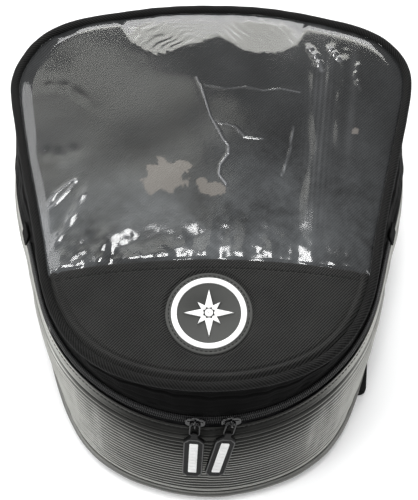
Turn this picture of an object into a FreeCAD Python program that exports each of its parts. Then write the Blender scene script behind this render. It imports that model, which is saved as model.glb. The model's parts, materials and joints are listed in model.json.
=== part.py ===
"""Magnetic motorcycle tank bag: a soft shield-shaped bag with a clear map window in its lid.

Frame: millimetres, +Z up, +Y to the wide end (forward on the motorcycle), +X to the right.
The origin is on the surface that the bag rests on, under the middle of its outer box.

Two frames are used. The base, the walls' lower edges and the wings are drawn in the bag's frame.
The lid, the zipper and the sliders are drawn in the lid frame, whose origin is the centre of the
zipper's arc, and which leans by lid_tilt so that the lid rises towards the wide end.
"""
import FreeCAD
import Part
import Sketcher
import math
import os

from FreeCAD import Placement, Rotation, Vector

DIMENSIONS = [
    ("lid_tilt", 5.0, "slope of the lid and of the zipper plane, degrees"),
    ("arc_centre_y", -23.0, "centre of the zipper arc along Y"),
    ("arc_centre_z", 119.0, "height of the centre of the zipper arc"),
    ("zip_radius", 144.0, "radius of the zipper chain's centre line"),
    ("zip_half_angle", 75.0, "half of the angle that the zipper's arc covers, degrees"),
    ("zip_run", 49.0, "straight run of the chain past each end of the arc"),
    ("zip_lean", 18.0, "lean of the zipper's face from the lid's normal, degrees"),
    ("chain_half_gap", 0.8, "half of the slot between the two rows of coil"),
    ("coil_width", 3.4, "width of one row of coil"),
    ("coil_height", 2.6, "thickness of one row of coil"),
    ("tape_width", 8.4, "width of one tape"),
    ("tape_thickness", 0.9, "thickness of one tape"),
    ("lid_height", 40.0, "lid piping's centre line above the zipper plane"),
    ("piping_radius", 3.6, "radius of the covered cord round the lid"),
    ("base_piping_radius", 3.0, "radius of the covered cord round the base"),
    ("hinge_v", 10.0, "fold line of the lid, in the lid frame"),
    ("hinge_gap", 0.4, "half of the gap left at the fold line"),
    ("skin", 1.2, "thickness of the outer vinyl"),
    ("foam", 4.0, "thickness of the wall foam"),
    ("lining", 0.8, "thickness of the lining cloth"),
    ("layer_gap", 0.3, "air left between two layers"),
    ("base_level", 7.6, "underside of the base panel"),
    ("wall_foot", 14.2, "lower edge of the walls"),
    ("board", 2.0, "thickness of the base board"),
    ("wall_bulge", 2.5, "how far the walls swell at half height"),
    ("badge_radius", 34.0, "radius of the round rubber badge"),
    ("badge_v", -71.5, "centre of the badge, in the lid frame"),
    ("badge_ring_radius", 29.5, "outer radius of the badge's raised ring"),
    ("badge_ring_width", 4.6, "width of the badge's raised ring"),
    ("badge_hub_radius", 6.0, "radius of the hub of the compass rose"),
    ("badge_ray_length", 19.5, "reach of a ray of the compass rose"),
    ("left_slider_angle", -4.2, "place of the left slider at rest, degrees from the middle"),
    ("right_slider_angle", 6.8, "place of the right slider at rest, degrees from the middle"),
    ("left_pull_turn", -1.0, "turn of the left pull about its slider's face, degrees"),
    ("right_pull_turn", -16.5, "turn of the right pull about its slider's face, degrees"),
    ("pull_swing", 8.0, "swing of both pulls out from the slider's face, degrees"),
    ("slider_length", 16.0, "length of a slider along the chain"),
    ("slider_width", 11.0, "width of a slider across the chain"),
    ("plate", 1.4, "thickness of a slider's plate"),
    ("tab_width", 16.5, "width of a rubber pull tab"),
    ("tab_length", 52.0, "length of a rubber pull tab"),
    ("tab_thickness", 4.4, "thickness of a rubber pull tab"),
    ("magnet_radius", 17.0, "radius of a magnet disc"),
    ("magnet_thickness", 3.0, "thickness of a magnet disc"),
    ("wing_length", 170.0, "length of a wing along its fold"),
    ("wing_reach", 86.0, "reach of a wing from its fold"),
    ("wing_pad", 5.0, "thickness of a wing where it holds magnets"),
    ("wing_cloth", 1.6, "thickness of a wing beside its fold"),
]

# Right half of each closed outline, from the middle of the narrow end to the middle of the wide end.
LID_HALF = [(0, -130), (56, -122.5), (98, -100), (122, -66), (137, -8), (152, 56), (166, 122),
            (169, 158), (151, 188), (106, 208), (52, 220), (0, 223)]
REAR_HALF = [(165, 60), (171, 126), (172, 159), (154, 188.5), (108, 209), (54, 219.4), (0, 222.4)]
BASE_HALF = [(0, -197), (40, -191.5), (76, -177.5), (103, -156.5), (121, -129), (135, -94),
             (147.5, -54), (158.5, -17), (166, 28), (169, 80), (165, 135), (148, 161), (110, 176),
             (55, 186), (0, 189)]
OUTLINE_SAMPLES = 64

document = FreeCAD.newDocument("tank_bag")
sheet = document.addObject("Spreadsheet::Sheet", "dims")
for row, (alias, value, meaning) in enumerate(DIMENSIONS, start=1):
    sheet.set(f"A{row}", meaning)
    sheet.set(f"B{row}", str(value))
    sheet.setAlias(f"B{row}", alias)
document.recompute()

parts = []


def dim(alias):
    """Value of one cell of the sheet."""
    return float(sheet.get(alias))


def sin_deg(angle):
    return math.sin(math.radians(angle))


def cos_deg(angle):
    return math.cos(math.radians(angle))


X_AXIS = Vector(1, 0, 0)
Y_AXIS = Vector(0, 1, 0)
Z_AXIS = Vector(0, 0, 1)
BAG = Placement()
LID = Placement(Vector(0, dim("arc_centre_y"), dim("arc_centre_z")), Rotation(X_AXIS, dim("lid_tilt")))
SIDES = (("left", -1), ("right", 1))


# ---------------------------------------------------------------- outlines and sections

def mirrored(half):
    """Whole closed outline from its right half."""
    left = [(-x, y) for x, y in reversed(half[1:-1])]
    return [Vector(x, y, 0) for x, y in half + left]


def smooth_curve(points):
    curve = Part.BSplineCurve()
    curve.interpolate(points, PeriodicFlag=True)
    return curve


def sampled(points, outset=0.0):
    """Evenly spaced points on the smooth curve through an outline, moved outwards by outset."""
    curve = smooth_curve(points)
    length = curve.length()
    result = []
    for index in range(OUTLINE_SAMPLES):
        parameter = curve.parameterAtDistance(length * index / OUTLINE_SAMPLES)
        tangent = curve.tangent(parameter)[0]
        outwards = tangent.cross(Z_AXIS)
        result.append(curve.value(parameter) + outwards * outset)
    return result


def chain_half(radius_change):
    """Right half of the outline at the zipper: the arc, its straight run and the fixed rear."""
    radius = dim("zip_radius") + radius_change
    end = dim("zip_half_angle")
    steps = 5
    arc = [(radius * sin_deg(end * i / steps), -radius * cos_deg(end * i / steps))
           for i in range(steps + 1)]
    run = dim("zip_run")
    last = (arc[-1][0] + run * cos_deg(end), arc[-1][1] + run * sin_deg(end))
    rear = [(x + radius_change if x else x, y) for x, y in REAR_HALF[:3]]
    return arc + [last] + rear + REAR_HALF[3:]


def at_height(points, height, frame):
    """Points of an outline raised to a height in a frame, in the bag's frame."""
    return [frame.multVec(point + Z_AXIS * height) for point in points]


def wire_through(points):
    return Part.Wire([smooth_curve(points).toShape()])


def lofted(sections, ruled=False):
    return Part.makeLoft([wire_through(points) for points in sections], True, ruled)


def chain_offset(up_slope, outwards):
    """Radius change and height of a point given up the zipper's face and out of it."""
    lean = dim("zip_lean")
    radius_change = -up_slope * sin_deg(lean) + outwards * cos_deg(lean)
    height = up_slope * cos_deg(lean) + outwards * sin_deg(lean)
    return radius_change, height


SEWN_EDGE = dim("chain_half_gap") + dim("tape_width") + 2 * dim("layer_gap")
WALL_TOP = chain_offset(-SEWN_EDGE, dim("skin") / 2)
GUSSET_FOOT = chain_offset(SEWN_EDGE, dim("skin") / 2)


def wall_sections(depth):
    """Top, middle and bottom outlines of the wall's surface at a depth inside the outer vinyl."""
    radius_change, height = WALL_TOP
    top = at_height(sampled(mirrored(chain_half(radius_change)), -depth), height, LID)
    foot = at_height(sampled(mirrored(BASE_HALF), -depth), dim("wall_foot"), BAG)
    middle = []
    for upper, lower in zip(top, foot):
        swell = Vector(upper.x + lower.x, upper.y + lower.y, 0).normalize() * dim("wall_bulge")
        middle.append((upper + lower) * 0.5 + swell)
    return [top, middle, foot]


def gusset_sections(depth, front):
    """Upper and lower outlines of the band between the lid's piping and the zipper."""
    upper_level = dim("lid_height") - dim("piping_radius") - dim("layer_gap")
    radius_change, height = GUSSET_FOOT if front else (WALL_TOP[0], WALL_TOP[1] + dim("layer_gap"))
    upper = at_height(sampled(mirrored(LID_HALF), -depth), upper_level, LID)
    lower = at_height(sampled(mirrored(chain_half(radius_change)), -depth), height, LID)
    return [upper, lower]


def ring(outer_sections, inner_sections, ruled=False):
    """Closed band between two nested lofts."""
    return lofted(outer_sections, ruled).cut(lofted(inner_sections, ruled))


def half_space(frame, low, high):
    """Box that keeps what lies between two corners given in a frame."""
    size = Vector(*high) - Vector(*low)
    box = Part.makeBox(size.x, size.y, size.z, Vector(*low))
    box.Placement = frame
    return box


FAR = 400.0


def in_front_of(frame, limit):
    return half_space(frame, (-FAR, -FAR, -FAR), (FAR, limit, FAR))


def behind(frame, limit):
    return half_space(frame, (-FAR, limit, -FAR), (FAR, FAR, FAR))


# ---------------------------------------------------------------- document objects

def add_shape(label, shape):
    """Sub-part whose form is a freeform loft or sweep."""
    feature = document.addObject("Part::Feature", label)
    feature.Label = label
    feature.Shape = shape
    feature.Placement = Placement()
    parts.append(feature)
    return feature


def new_body(label, placement):
    body = document.addObject("PartDesign::Body", label)
    body.Label = label
    body.Placement = placement
    parts.append(body)
    return body


def plane_of(body, role):
    return next(item for item in body.Origin.OriginFeatures if item.Role == role)


def new_sketch(body, height="0", role="XY_Plane"):
    """Sketch on one of the body's origin planes, lifted by an expression."""
    sketch = body.newObject("Sketcher::SketchObject", f"{body.Name}_sketch")
    sketch.AttachmentSupport = [(plane_of(body, role), "")]
    sketch.MapMode = "FlatFace"
    sketch.setExpression("AttachmentOffset.Base.z", height)
    return sketch


def draw_curve(sketch, points):
    sketch.addGeometry(smooth_curve(points))


def draw_polygon(sketch, corners):
    for start, end in zip(corners, corners[1:] + corners[:1]):
        sketch.addGeometry(Part.LineSegment(Vector(*start, 0), Vector(*end, 0)))


def draw_circle(sketch, centre, radius_expression):
    """Circle whose radius follows an expression."""
    index = sketch.addGeometry(Part.Circle(Vector(*centre, 0), Z_AXIS, 1.0))
    constraint = sketch.addConstraint(Sketcher.Constraint("Radius", index, 1.0))
    sketch.setExpression(f"Constraints[{constraint}]", radius_expression)


def add_pad(body, sketch, length):
    pad = body.newObject("PartDesign::Pad", f"{body.Name}_pad")
    pad.Profile = sketch
    pad.setExpression("Length", length)
    return pad


def add_pocket(body, sketch, symmetric=True):
    """Cut right through the body, both ways from the sketch."""
    pocket = body.newObject("PartDesign::Pocket", f"{body.Name}_pocket")
    pocket.Profile = sketch
    pocket.Type = "ThroughAll"
    pocket.Midplane = symmetric
    return pocket


def sheet_layer(label, frame, half, inset, height, thickness):
    """Flat layer with the form of an outline, moved inwards by inset."""
    body = new_body(label, frame)
    sketch = new_sketch(body, height)
    draw_curve(sketch, sampled(mirrored(half), -inset))
    add_pad(body, sketch, thickness)
    return body


def cut_away(body, corners):
    sketch = new_sketch(body)
    draw_polygon(sketch, corners)
    add_pocket(body, sketch)


def rectangle(low, high):
    return [(low[0], low[1]), (high[0], low[1]), (high[0], high[1]), (low[0], high[1])]


# ---------------------------------------------------------------- base

BOARD_INSET = 1.0
GRIP_SHEET_THICKNESS = 1.0
GRIP_SHEET_CORNERS = [(-42, -150), (42, -150), (52, 150), (-52, 150)]


def make_base():
    inset = dim("base_piping_radius") + dim("layer_gap")
    gap = dim("layer_gap")
    sheet_layer("base_panel", BAG, BASE_HALF, inset, "dims.base_level", "dims.skin")
    board_level = "dims.base_level + dims.skin + dims.layer_gap"
    sheet_layer("base_board", BAG, BASE_HALF, inset + BOARD_INSET, board_level, "dims.board")
    lining_level = f"{board_level} + dims.board + dims.layer_gap"
    depth = dim("skin") + dim("foam") + dim("lining") + 4 * gap
    sheet_layer("base_lining", BAG, BASE_HALF, depth, lining_level, "dims.lining")

    grip = new_body("base_grip_sheet", BAG)
    sketch = new_sketch(grip, f"dims.base_level - dims.layer_gap - {GRIP_SHEET_THICKNESS}")
    draw_polygon(sketch, GRIP_SHEET_CORNERS)
    add_pad(grip, sketch, f"{GRIP_SHEET_THICKNESS}")

    add_cord("base_piping", BASE_HALF, BAG, dim("base_level") + dim("base_piping_radius"),
             dim("base_piping_radius"))


def add_cord(label, half, frame, height, radius, keep=None):
    """Covered cord that runs round an outline; keep is the part of space that holds it."""
    spine = wire_through(at_height(mirrored(half), height, frame))
    start = spine.Edges[0]
    first = start.FirstParameter
    circle = Part.Wire(Part.makeCircle(radius, start.valueAt(first), start.tangentAt(first)))
    sweep = Part.BRepOffsetAPI.MakePipeShell(spine)
    sweep.setBiNormalMode(frame.Rotation.multVec(Z_AXIS))
    sweep.add(circle)
    sweep.build()
    sweep.makeSolid()
    cord = sweep.shape()
    if keep:
        cord = cord.common(keep)
    return add_shape(label, cord)


# ---------------------------------------------------------------- walls

REAR_SEAM_Y = 128.0
SEAM_HALF_GAP = 0.15
INNER_DROP = 5.0


def make_walls():
    layers = [("skin", 0.0, dim("skin")),
              ("foam", dim("skin") + dim("layer_gap"), dim("foam")),
              ("lining", dim("skin") + dim("foam") + 2 * dim("layer_gap"), dim("lining"))]
    below_zipper = half_space(LID, (-FAR, -FAR, -FAR), (FAR, FAR, WALL_TOP[1] - INNER_DROP))
    for name, depth, thickness in layers:
        band = ring(wall_sections(depth), wall_sections(depth + thickness))
        if name != "skin":
            band = band.common(below_zipper)
        add_shape(f"wall_{name}", band.common(in_front_of(BAG, REAR_SEAM_Y - SEAM_HALF_GAP)))
        add_shape(f"rear_wall_{name}", band.common(behind(BAG, REAR_SEAM_Y + SEAM_HALF_GAP)))


# ---------------------------------------------------------------- bands between lid and zipper

REAR_CORNER_V = 176.0


def make_gussets():
    hinge = dim("hinge_v")
    gap = dim("hinge_gap")
    thickness = dim("skin")
    front = ring(gusset_sections(0, True), gusset_sections(thickness, True), True)
    add_shape("front_gusset", front.common(in_front_of(LID, hinge - gap)))

    rear = ring(gusset_sections(0, False), gusset_sections(thickness, False), True)
    rear = rear.common(behind(LID, hinge + gap))
    add_shape("rear_gusset", rear.common(behind(LID, REAR_CORNER_V + SEAM_HALF_GAP)))
    sides = rear.common(in_front_of(LID, REAR_CORNER_V - SEAM_HALF_GAP))
    for side, sign in SIDES:
        low, high = sorted((0.0, sign * FAR))
        keep = half_space(LID, (low, -FAR, -FAR), (high, FAR, FAR))
        add_shape(f"{side}_gusset", sides.common(keep))


# ---------------------------------------------------------------- lid

SEAM_MIDDLE_V = -26.5
SEAM_END = (140.0, -41.0)
LID_INSET = 4.2
BEYOND = 300.0

# Underside above the piping's centre line, and thickness, of each layer of the lid.
PANEL_LAYER = ("dims.lid_height + 0.6", "1.2")
WINDOW_LAYER = ("dims.lid_height + 0.8", "0.6")
INNER_LAYERS = [("backing", "dims.lid_height - 0.6", "1.0"),
                ("foam", "dims.lid_height - 4.9", "4.0"),
                ("lining", "dims.lid_height - 6.0", "0.8")]
POCKET_STRIPS = [("loop", "dims.lid_height - 7.6"), ("hook", "dims.lid_height - 9.0")]
POCKET_STRIP_LOW = (-90, 150)
POCKET_STRIP_HIGH = (90, 170)
POCKET_STRIP_THICKNESS = "1.2"


def draw_seam_region(sketch, shift, behind_seam):
    """Closed region on one side of the bowed seam between the cloth panel and the window."""
    end_x, end_v = SEAM_END
    left = Vector(-end_x, end_v + shift, 0)
    middle = Vector(0, SEAM_MIDDLE_V + shift, 0)
    right = Vector(end_x, end_v + shift, 0)
    far_v = BEYOND if behind_seam else -BEYOND
    wide = BEYOND
    sketch.addGeometry(Part.Arc(left, middle, right))
    corners = [(end_x, end_v + shift), (wide, end_v + shift), (wide, far_v), (-wide, far_v),
               (-wide, end_v + shift), (-end_x, end_v + shift)]
    for start, stop in zip(corners, corners[1:]):
        sketch.addGeometry(Part.LineSegment(Vector(*start, 0), Vector(*stop, 0)))


def cut_at_seam(body, shift, behind_seam):
    sketch = new_sketch(body)
    draw_seam_region(sketch, shift, behind_seam)
    add_pocket(body, sketch)


def make_lid():
    hinge = dim("hinge_v")
    gap = dim("hinge_gap")
    rear_region = rectangle((-BEYOND, hinge - gap), (BEYOND, BEYOND))
    front_region = rectangle((-BEYOND, -BEYOND), (BEYOND, hinge + gap))
    ends = (("front", rear_region), ("rear", front_region))

    panel = sheet_layer("lid_front_panel", LID, LID_HALF, LID_INSET, *PANEL_LAYER)
    cut_at_seam(panel, -SEAM_HALF_GAP, True)
    for end, other_region in ends:
        window = sheet_layer(f"window_{end}", LID, LID_HALF, LID_INSET, *WINDOW_LAYER)
        cut_away(window, other_region)
        if end == "front":
            cut_at_seam(window, SEAM_HALF_GAP, False)
        for name, height, thickness in INNER_LAYERS:
            layer = sheet_layer(f"lid_{name}_{end}", LID, LID_HALF, LID_INSET, height, thickness)
            cut_away(layer, other_region)

    for end, keep in (("front", in_front_of(LID, hinge - gap)), ("rear", behind(LID, hinge + gap))):
        add_cord(f"lid_piping_{end}", LID_HALF, LID, dim("lid_height"), dim("piping_radius"), keep)

    for name, height in POCKET_STRIPS:
        strip = new_body(f"map_pocket_{name}_strip", LID)
        sketch = new_sketch(strip, height)
        draw_polygon(sketch, rectangle(POCKET_STRIP_LOW, POCKET_STRIP_HIGH))
        add_pad(strip, sketch, POCKET_STRIP_THICKNESS)


BADGE_UNDERSIDE = "dims.lid_height + 1.8"
BADGE_THICKNESS = 1.6
BADGE_RELIEF = "0.8"
BADGE_RAYS = 8
SHORT_RAY_SHARE = 0.62


def make_badge():
    """Round rubber patch with a raised ring and an eight-pointed compass rose."""
    top = f"{BADGE_UNDERSIDE} + {BADGE_THICKNESS}"
    centre = (0, dim("badge_v"))
    disc = new_body("badge_disc", LID)
    sketch = new_sketch(disc, BADGE_UNDERSIDE)
    draw_circle(sketch, centre, "dims.badge_radius")
    add_pad(disc, sketch, f"{BADGE_THICKNESS}")

    ring_body = new_body("badge_ring", LID)
    sketch = new_sketch(ring_body, top)
    draw_circle(sketch, centre, "dims.badge_ring_radius")
    draw_circle(sketch, centre, "dims.badge_ring_radius - dims.badge_ring_width")
    add_pad(ring_body, sketch, BADGE_RELIEF)

    rose = new_body("badge_rose", LID)
    sketch = new_sketch(rose, top)
    corners = []
    for index in range(BADGE_RAYS):
        ray = dim("badge_ray_length") * (SHORT_RAY_SHARE if index % 2 else 1.0)
        for half_step, reach in ((0, ray), (1, dim("badge_hub_radius"))):
            angle = 180.0 * (2 * index + half_step) / BADGE_RAYS
            corners.append((reach * sin_deg(angle), dim("badge_v") + reach * cos_deg(angle)))
    draw_polygon(sketch, corners)
    add_pad(rose, sketch, BADGE_RELIEF)


# ---------------------------------------------------------------- zipper

def add_chain_strip(label, low, high, inner, outer):
    """Strip that follows the chain: low to high up the zipper's face, inner to outer through it."""
    body = new_body(label, LID)
    radius = dim("zip_radius")
    angle = dim("zip_half_angle")
    run = dim("zip_run")
    right = Vector(radius * sin_deg(angle), -radius * cos_deg(angle), 0)
    right_end = right + Vector(cos_deg(angle), sin_deg(angle), 0) * run
    left = Vector(-right.x, right.y, 0)
    left_end = Vector(-right_end.x, right_end.y, 0)

    spine = new_sketch(body)
    spine.addGeometry(Part.LineSegment(left_end, left))
    spine.addGeometry(Part.Arc(left, Vector(0, -radius, 0), right))
    spine.addGeometry(Part.LineSegment(right, right_end))

    profile = body.newObject("Sketcher::SketchObject", f"{label}_profile")
    profile.AttachmentSupport = [(plane_of(body, "XZ_Plane"), "")]
    profile.MapMode = "FlatFace"
    square_to_spine = Rotation(Y_AXIS, 90.0 - angle)
    profile.AttachmentOffset = Placement(Vector(left_end.x, 0, -left_end.y), square_to_spine)
    corners = []
    for up_slope, outwards in ((low, inner), (high, inner), (high, outer), (low, outer)):
        radius_change, height = chain_offset(up_slope, outwards)
        corners.append((-radius_change, height))
    draw_polygon(profile, corners)

    pipe = body.newObject("PartDesign::AdditivePipe", f"{label}_pipe")
    pipe.Profile = profile
    pipe.Spine = (spine, [])
    return body


COIL_BACK = -0.6
TAPE_FRONT = -0.8


def make_chain():
    gap = dim("chain_half_gap")
    coil = gap + dim("coil_width")
    tape = gap + dim("tape_width")
    coil_back = COIL_BACK
    coil_front = coil_back + dim("coil_height")
    tape_front = TAPE_FRONT
    tape_back = tape_front - dim("tape_thickness")
    add_chain_strip("lower_coil", -coil, -gap, coil_back, coil_front)
    add_chain_strip("upper_coil", gap, coil, coil_back, coil_front)
    add_chain_strip("lower_zip_tape", -tape, -gap, tape_back, tape_front)
    add_chain_strip("upper_zip_tape", gap, tape, tape_back, tape_front)


def chain_frame(angle, past_end=0.0):
    """Frame on the chain: X along it, Y up the zipper's face, Z out of the bag."""
    lean = dim("zip_lean")
    turn = Placement(Vector(), Rotation(Z_AXIS, angle))
    face = Placement(Vector(past_end, -dim("zip_radius"), 0), Rotation(X_AXIS, 90.0 - lean))
    return LID.multiply(turn).multiply(face)


ZIP_END_HALF = (7, 9)
ZIP_END_GAP = 1.0
ZIP_END_LEVEL = "1.6"
ZIP_END_THICKNESS = "1.2"


def make_zip_ends():
    """Cloth patches that cover the ends of the zipper."""
    half_length, half_width = ZIP_END_HALF
    for side, sign in SIDES:
        past_end = sign * (dim("zip_run") + ZIP_END_GAP + half_length)
        body = new_body(f"{side}_zip_end", chain_frame(sign * dim("zip_half_angle"), past_end))
        sketch = new_sketch(body, ZIP_END_LEVEL)
        draw_polygon(sketch, rectangle((-half_length, -half_width), (half_length, half_width)))
        add_pad(body, sketch, ZIP_END_THICKNESS)


SLIDER_FLOOR = -2.6
SLIDER_ROOF = 2.5
SLIDER_SHOULDER = 0.45
SLIDER_NOSE = 0.62
OVERLAP = 0.2
POST_HALF = (2.5, 0.5)
BAIL_HEIGHT = 4.4
BAIL_WIDTH = 3.0
BAIL_THICKNESS = 1.2
BAIL_HALF_OPENING = 3.2
PULL_PIVOT = Vector(0, 0, 5.4)
LINK_ROD = 0.8
LINK_LENGTH = 12.0
LINK_HALF_WIDTH = 4.6
TAB_TOP = 2.4
TAB_NECK = -1.8
TAB_SHOULDER = -7.0
TAB_TIP = 4.0
TAB_EYE_SHARE = 1.7
PRINT_HALF_WIDTH = 3.4
PRINT_MARGIN = (2.0, 6.0)
PRINT_RELIEF = "0.7"


def make_slider(side, frame):
    """Two plates joined by a thin post that runs in the slot between the coils, with a bail."""
    body = new_body(f"{side}_slider", frame)
    end = dim("slider_length") / 2
    shoulder = SLIDER_SHOULDER * end
    half_width = dim("slider_width") / 2
    nose = SLIDER_NOSE * half_width
    lower_plate = f"{SLIDER_FLOOR} - dims.plate"
    for height in (lower_plate, f"{SLIDER_ROOF}"):
        plate = new_sketch(body, height)
        draw_polygon(plate, [(-end, -nose), (-shoulder, -half_width), (shoulder, -half_width), (end, -nose),
                             (end, nose), (shoulder, half_width), (-shoulder, half_width), (-end, nose)])
        add_pad(body, plate, "dims.plate")
        if height == lower_plate:
            post = new_sketch(body, f"{SLIDER_FLOOR} - {OVERLAP}")
            half_x, half_y = POST_HALF
            draw_polygon(post, rectangle((-half_x, -half_y), (half_x, half_y)))
            add_pad(body, post, f"{SLIDER_ROOF - SLIDER_FLOOR} + 2 * {OVERLAP}")
    bail = new_sketch(body, f"-{BAIL_WIDTH} / 2", "YZ_Plane")
    low = SLIDER_ROOF + dim("plate") - OVERLAP
    top = low + BAIL_HEIGHT
    inner = BAIL_HALF_OPENING
    outer = inner + BAIL_THICKNESS
    draw_polygon(bail, [(-outer, low), (-outer, top), (outer, top), (outer, low), (inner, low),
                        (inner, top - BAIL_THICKNESS), (-inner, top - BAIL_THICKNESS), (-inner, low)])
    add_pad(body, bail, f"{BAIL_WIDTH}")


def hanging_frame(frame, drop, turn):
    """Frame hung from the pivot, drop along the pull: Y points up the pull."""
    lean = Rotation(Z_AXIS, turn).multiply(Rotation(X_AXIS, -dim("pull_swing")))
    return frame.multiply(Placement(PULL_PIVOT, lean)).multiply(Placement(Vector(0, -drop, 0), Rotation()))


def make_pull(side, frame):
    """Wire link through the slider's bail, and the rubber tab that hangs from it."""
    turn = dim(f"{side}_pull_turn")
    link = new_body(f"{side}_pull_link", hanging_frame(frame, 0, turn))
    outer = new_sketch(link, f"-{LINK_ROD}")
    half = LINK_HALF_WIDTH
    inner_half = half - 2 * LINK_ROD
    draw_polygon(outer, rectangle((-half, -LINK_LENGTH - LINK_ROD), (half, LINK_ROD)))
    draw_polygon(outer, rectangle((-inner_half, -LINK_LENGTH + LINK_ROD), (inner_half, -LINK_ROD)))
    add_pad(link, outer, f"{2 * LINK_ROD}")

    tab = new_body(f"{side}_pull_tab", hanging_frame(frame, LINK_LENGTH, turn))
    half_width = dim("tab_width") / 2
    bottom = TAB_TOP - dim("tab_length")
    head = inner_half - LINK_ROD / 2
    sketch = new_sketch(tab, "-dims.tab_thickness / 2")
    draw_polygon(sketch, [(-head, TAB_TOP), (head, TAB_TOP), (head, TAB_NECK), (half_width, TAB_SHOULDER),
                          (half_width, bottom + TAB_TIP), (half_width - TAB_TIP, bottom),
                          (-half_width + TAB_TIP, bottom), (-half_width, bottom + TAB_TIP),
                          (-half_width, TAB_SHOULDER), (-head, TAB_NECK)])
    add_pad(tab, sketch, "dims.tab_thickness")
    eye = new_sketch(tab, "0", "YZ_Plane")
    draw_circle(eye, (0, 0), f"{LINK_ROD} * {TAB_EYE_SHARE}")
    add_pocket(tab, eye)

    print_body = new_body(f"{side}_tab_print", hanging_frame(frame, LINK_LENGTH, turn))
    raised = new_sketch(print_body, "dims.tab_thickness / 2")
    upper, lower = PRINT_MARGIN
    draw_polygon(raised, rectangle((-PRINT_HALF_WIDTH, bottom + lower),
                                   (PRINT_HALF_WIDTH, TAB_SHOULDER - upper)))
    add_pad(print_body, raised, PRINT_RELIEF)


def make_sliders():
    for side, _ in SIDES:
        frame = chain_frame(dim(f"{side}_slider_angle"))
        make_slider(side, frame)
        make_pull(side, frame)


# ---------------------------------------------------------------- magnetic wings

# The left wing is sewn a little further in than the right one.
WING_FOLD_START = {"left": (-131.0, -107.0), "right": (141.5, -107.0)}
WING_FOLD_LEAN = 7.0
WING_AXIS_Z = 5.2
WING_STRIP = 24.0
WING_CORNER = 18.0
WING_TOP = 5.0
MAGNET_COUNT = 3
MAGNET_SIDE_GAP = 0.3
MAGNET_END_GAP = 0.1
ANCHOR_FROM_FOLD = (1.0, 12.0)
ANCHOR_END = 4.0


def wing_frame(side, sign):
    """Frame on a wing's fold, with Y along the fold."""
    start = Vector(*WING_FOLD_START[side], 0)
    return Placement(start, Rotation(Z_AXIS, -sign * WING_FOLD_LEAN))


def make_wing(side, sign):
    """Flap that folds under the base, with three magnets sealed in its thick part."""
    frame = wing_frame(side, sign)
    length = dim("wing_length")
    reach = dim("wing_reach")
    inwards = -sign
    wing = new_body(f"{side}_wing", frame)
    cloth = new_sketch(wing, f"{WING_TOP} - dims.wing_cloth")
    seam = inwards * (WING_STRIP + OVERLAP)
    draw_polygon(cloth, [(0, 0), (seam, 0), (seam, length), (0, length)])
    add_pad(wing, cloth, "dims.wing_cloth")
    pad = new_sketch(wing, f"{WING_TOP} - dims.wing_pad")
    draw_polygon(pad, [(inwards * WING_STRIP, 0), (inwards * (reach - WING_CORNER), 0),
                       (inwards * reach, WING_CORNER), (inwards * reach, length - WING_CORNER),
                       (inwards * (reach - WING_CORNER), length), (inwards * WING_STRIP, length)])
    add_pad(wing, pad, "dims.wing_pad")
    pitch = length / MAGNET_COUNT
    centres = [(inwards * (WING_STRIP + reach) / 2, pitch * (index + 0.5)) for index in range(MAGNET_COUNT)]
    middle = f"{WING_TOP} - dims.wing_pad / 2"
    pockets = new_sketch(wing, f"{middle} + dims.magnet_thickness / 2 + {MAGNET_END_GAP}")
    for centre in centres:
        draw_circle(pockets, centre, f"dims.magnet_radius + {MAGNET_SIDE_GAP}")
    pocket = wing.newObject("PartDesign::Pocket", f"{wing.Name}_seats")
    pocket.Profile = pockets
    pocket.setExpression("Length", f"dims.magnet_thickness + 2 * {MAGNET_END_GAP}")

    magnets = new_body(f"{side}_wing_magnets", frame)
    discs = new_sketch(magnets, f"{middle} - dims.magnet_thickness / 2")
    for centre in centres:
        draw_circle(discs, centre, "dims.magnet_radius")
    add_pad(magnets, discs, "dims.magnet_thickness")

    anchor = new_body(f"{side}_wing_anchor", frame)
    strap = new_sketch(anchor, f"{WING_AXIS_Z} + {MAGNET_END_GAP}")
    near, far = (inwards * distance for distance in ANCHOR_FROM_FOLD)
    draw_polygon(strap, [(near, ANCHOR_END), (far, ANCHOR_END), (far, length - ANCHOR_END),
                         (near, length - ANCHOR_END)])
    add_pad(anchor, strap, f"dims.base_level - {WING_AXIS_Z} - 2 * {MAGNET_END_GAP}")


# ---------------------------------------------------------------- build, check and write

def check_and_export():
    document.recompute()
    for item in document.Objects:
        if "Invalid" in item.State or "Error" in item.State:
            raise RuntimeError(f"{item.Name} failed to compute: {item.State}")
    os.makedirs("parts", exist_ok=True)
    for part in parts:
        shape = part.Shape
        if shape.isNull() or not shape.isValid() or not shape.Solids:
            raise RuntimeError(f"{part.Label} has no valid solid")
        shape.exportStep(f"parts/{part.Label}.step")
        box = shape.optimalBoundingBox(False)
        print(f"{part.Label:24s} solids {len(shape.Solids)} volume {shape.Volume:10.0f} "
              f"x {box.XMin:7.1f} {box.XMax:7.1f} y {box.YMin:7.1f} {box.YMax:7.1f} "
              f"z {box.ZMin:6.1f} {box.ZMax:6.1f}")


make_base()
make_walls()
make_gussets()
make_lid()
make_badge()
make_chain()
make_zip_ends()
make_sliders()
for wing_side, wing_sign in SIDES:
    make_wing(wing_side, wing_sign)
check_and_export()
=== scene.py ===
"""Looks of the motorcycle tank bag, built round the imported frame.

Shapes are worked out in millimetres and written to the meshes in metres. Texture coordinates are
millimetres along the cloth. The lid frame is x, v, w: across, towards the wide end, and out of the lid.
"""

import json
import math

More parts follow.
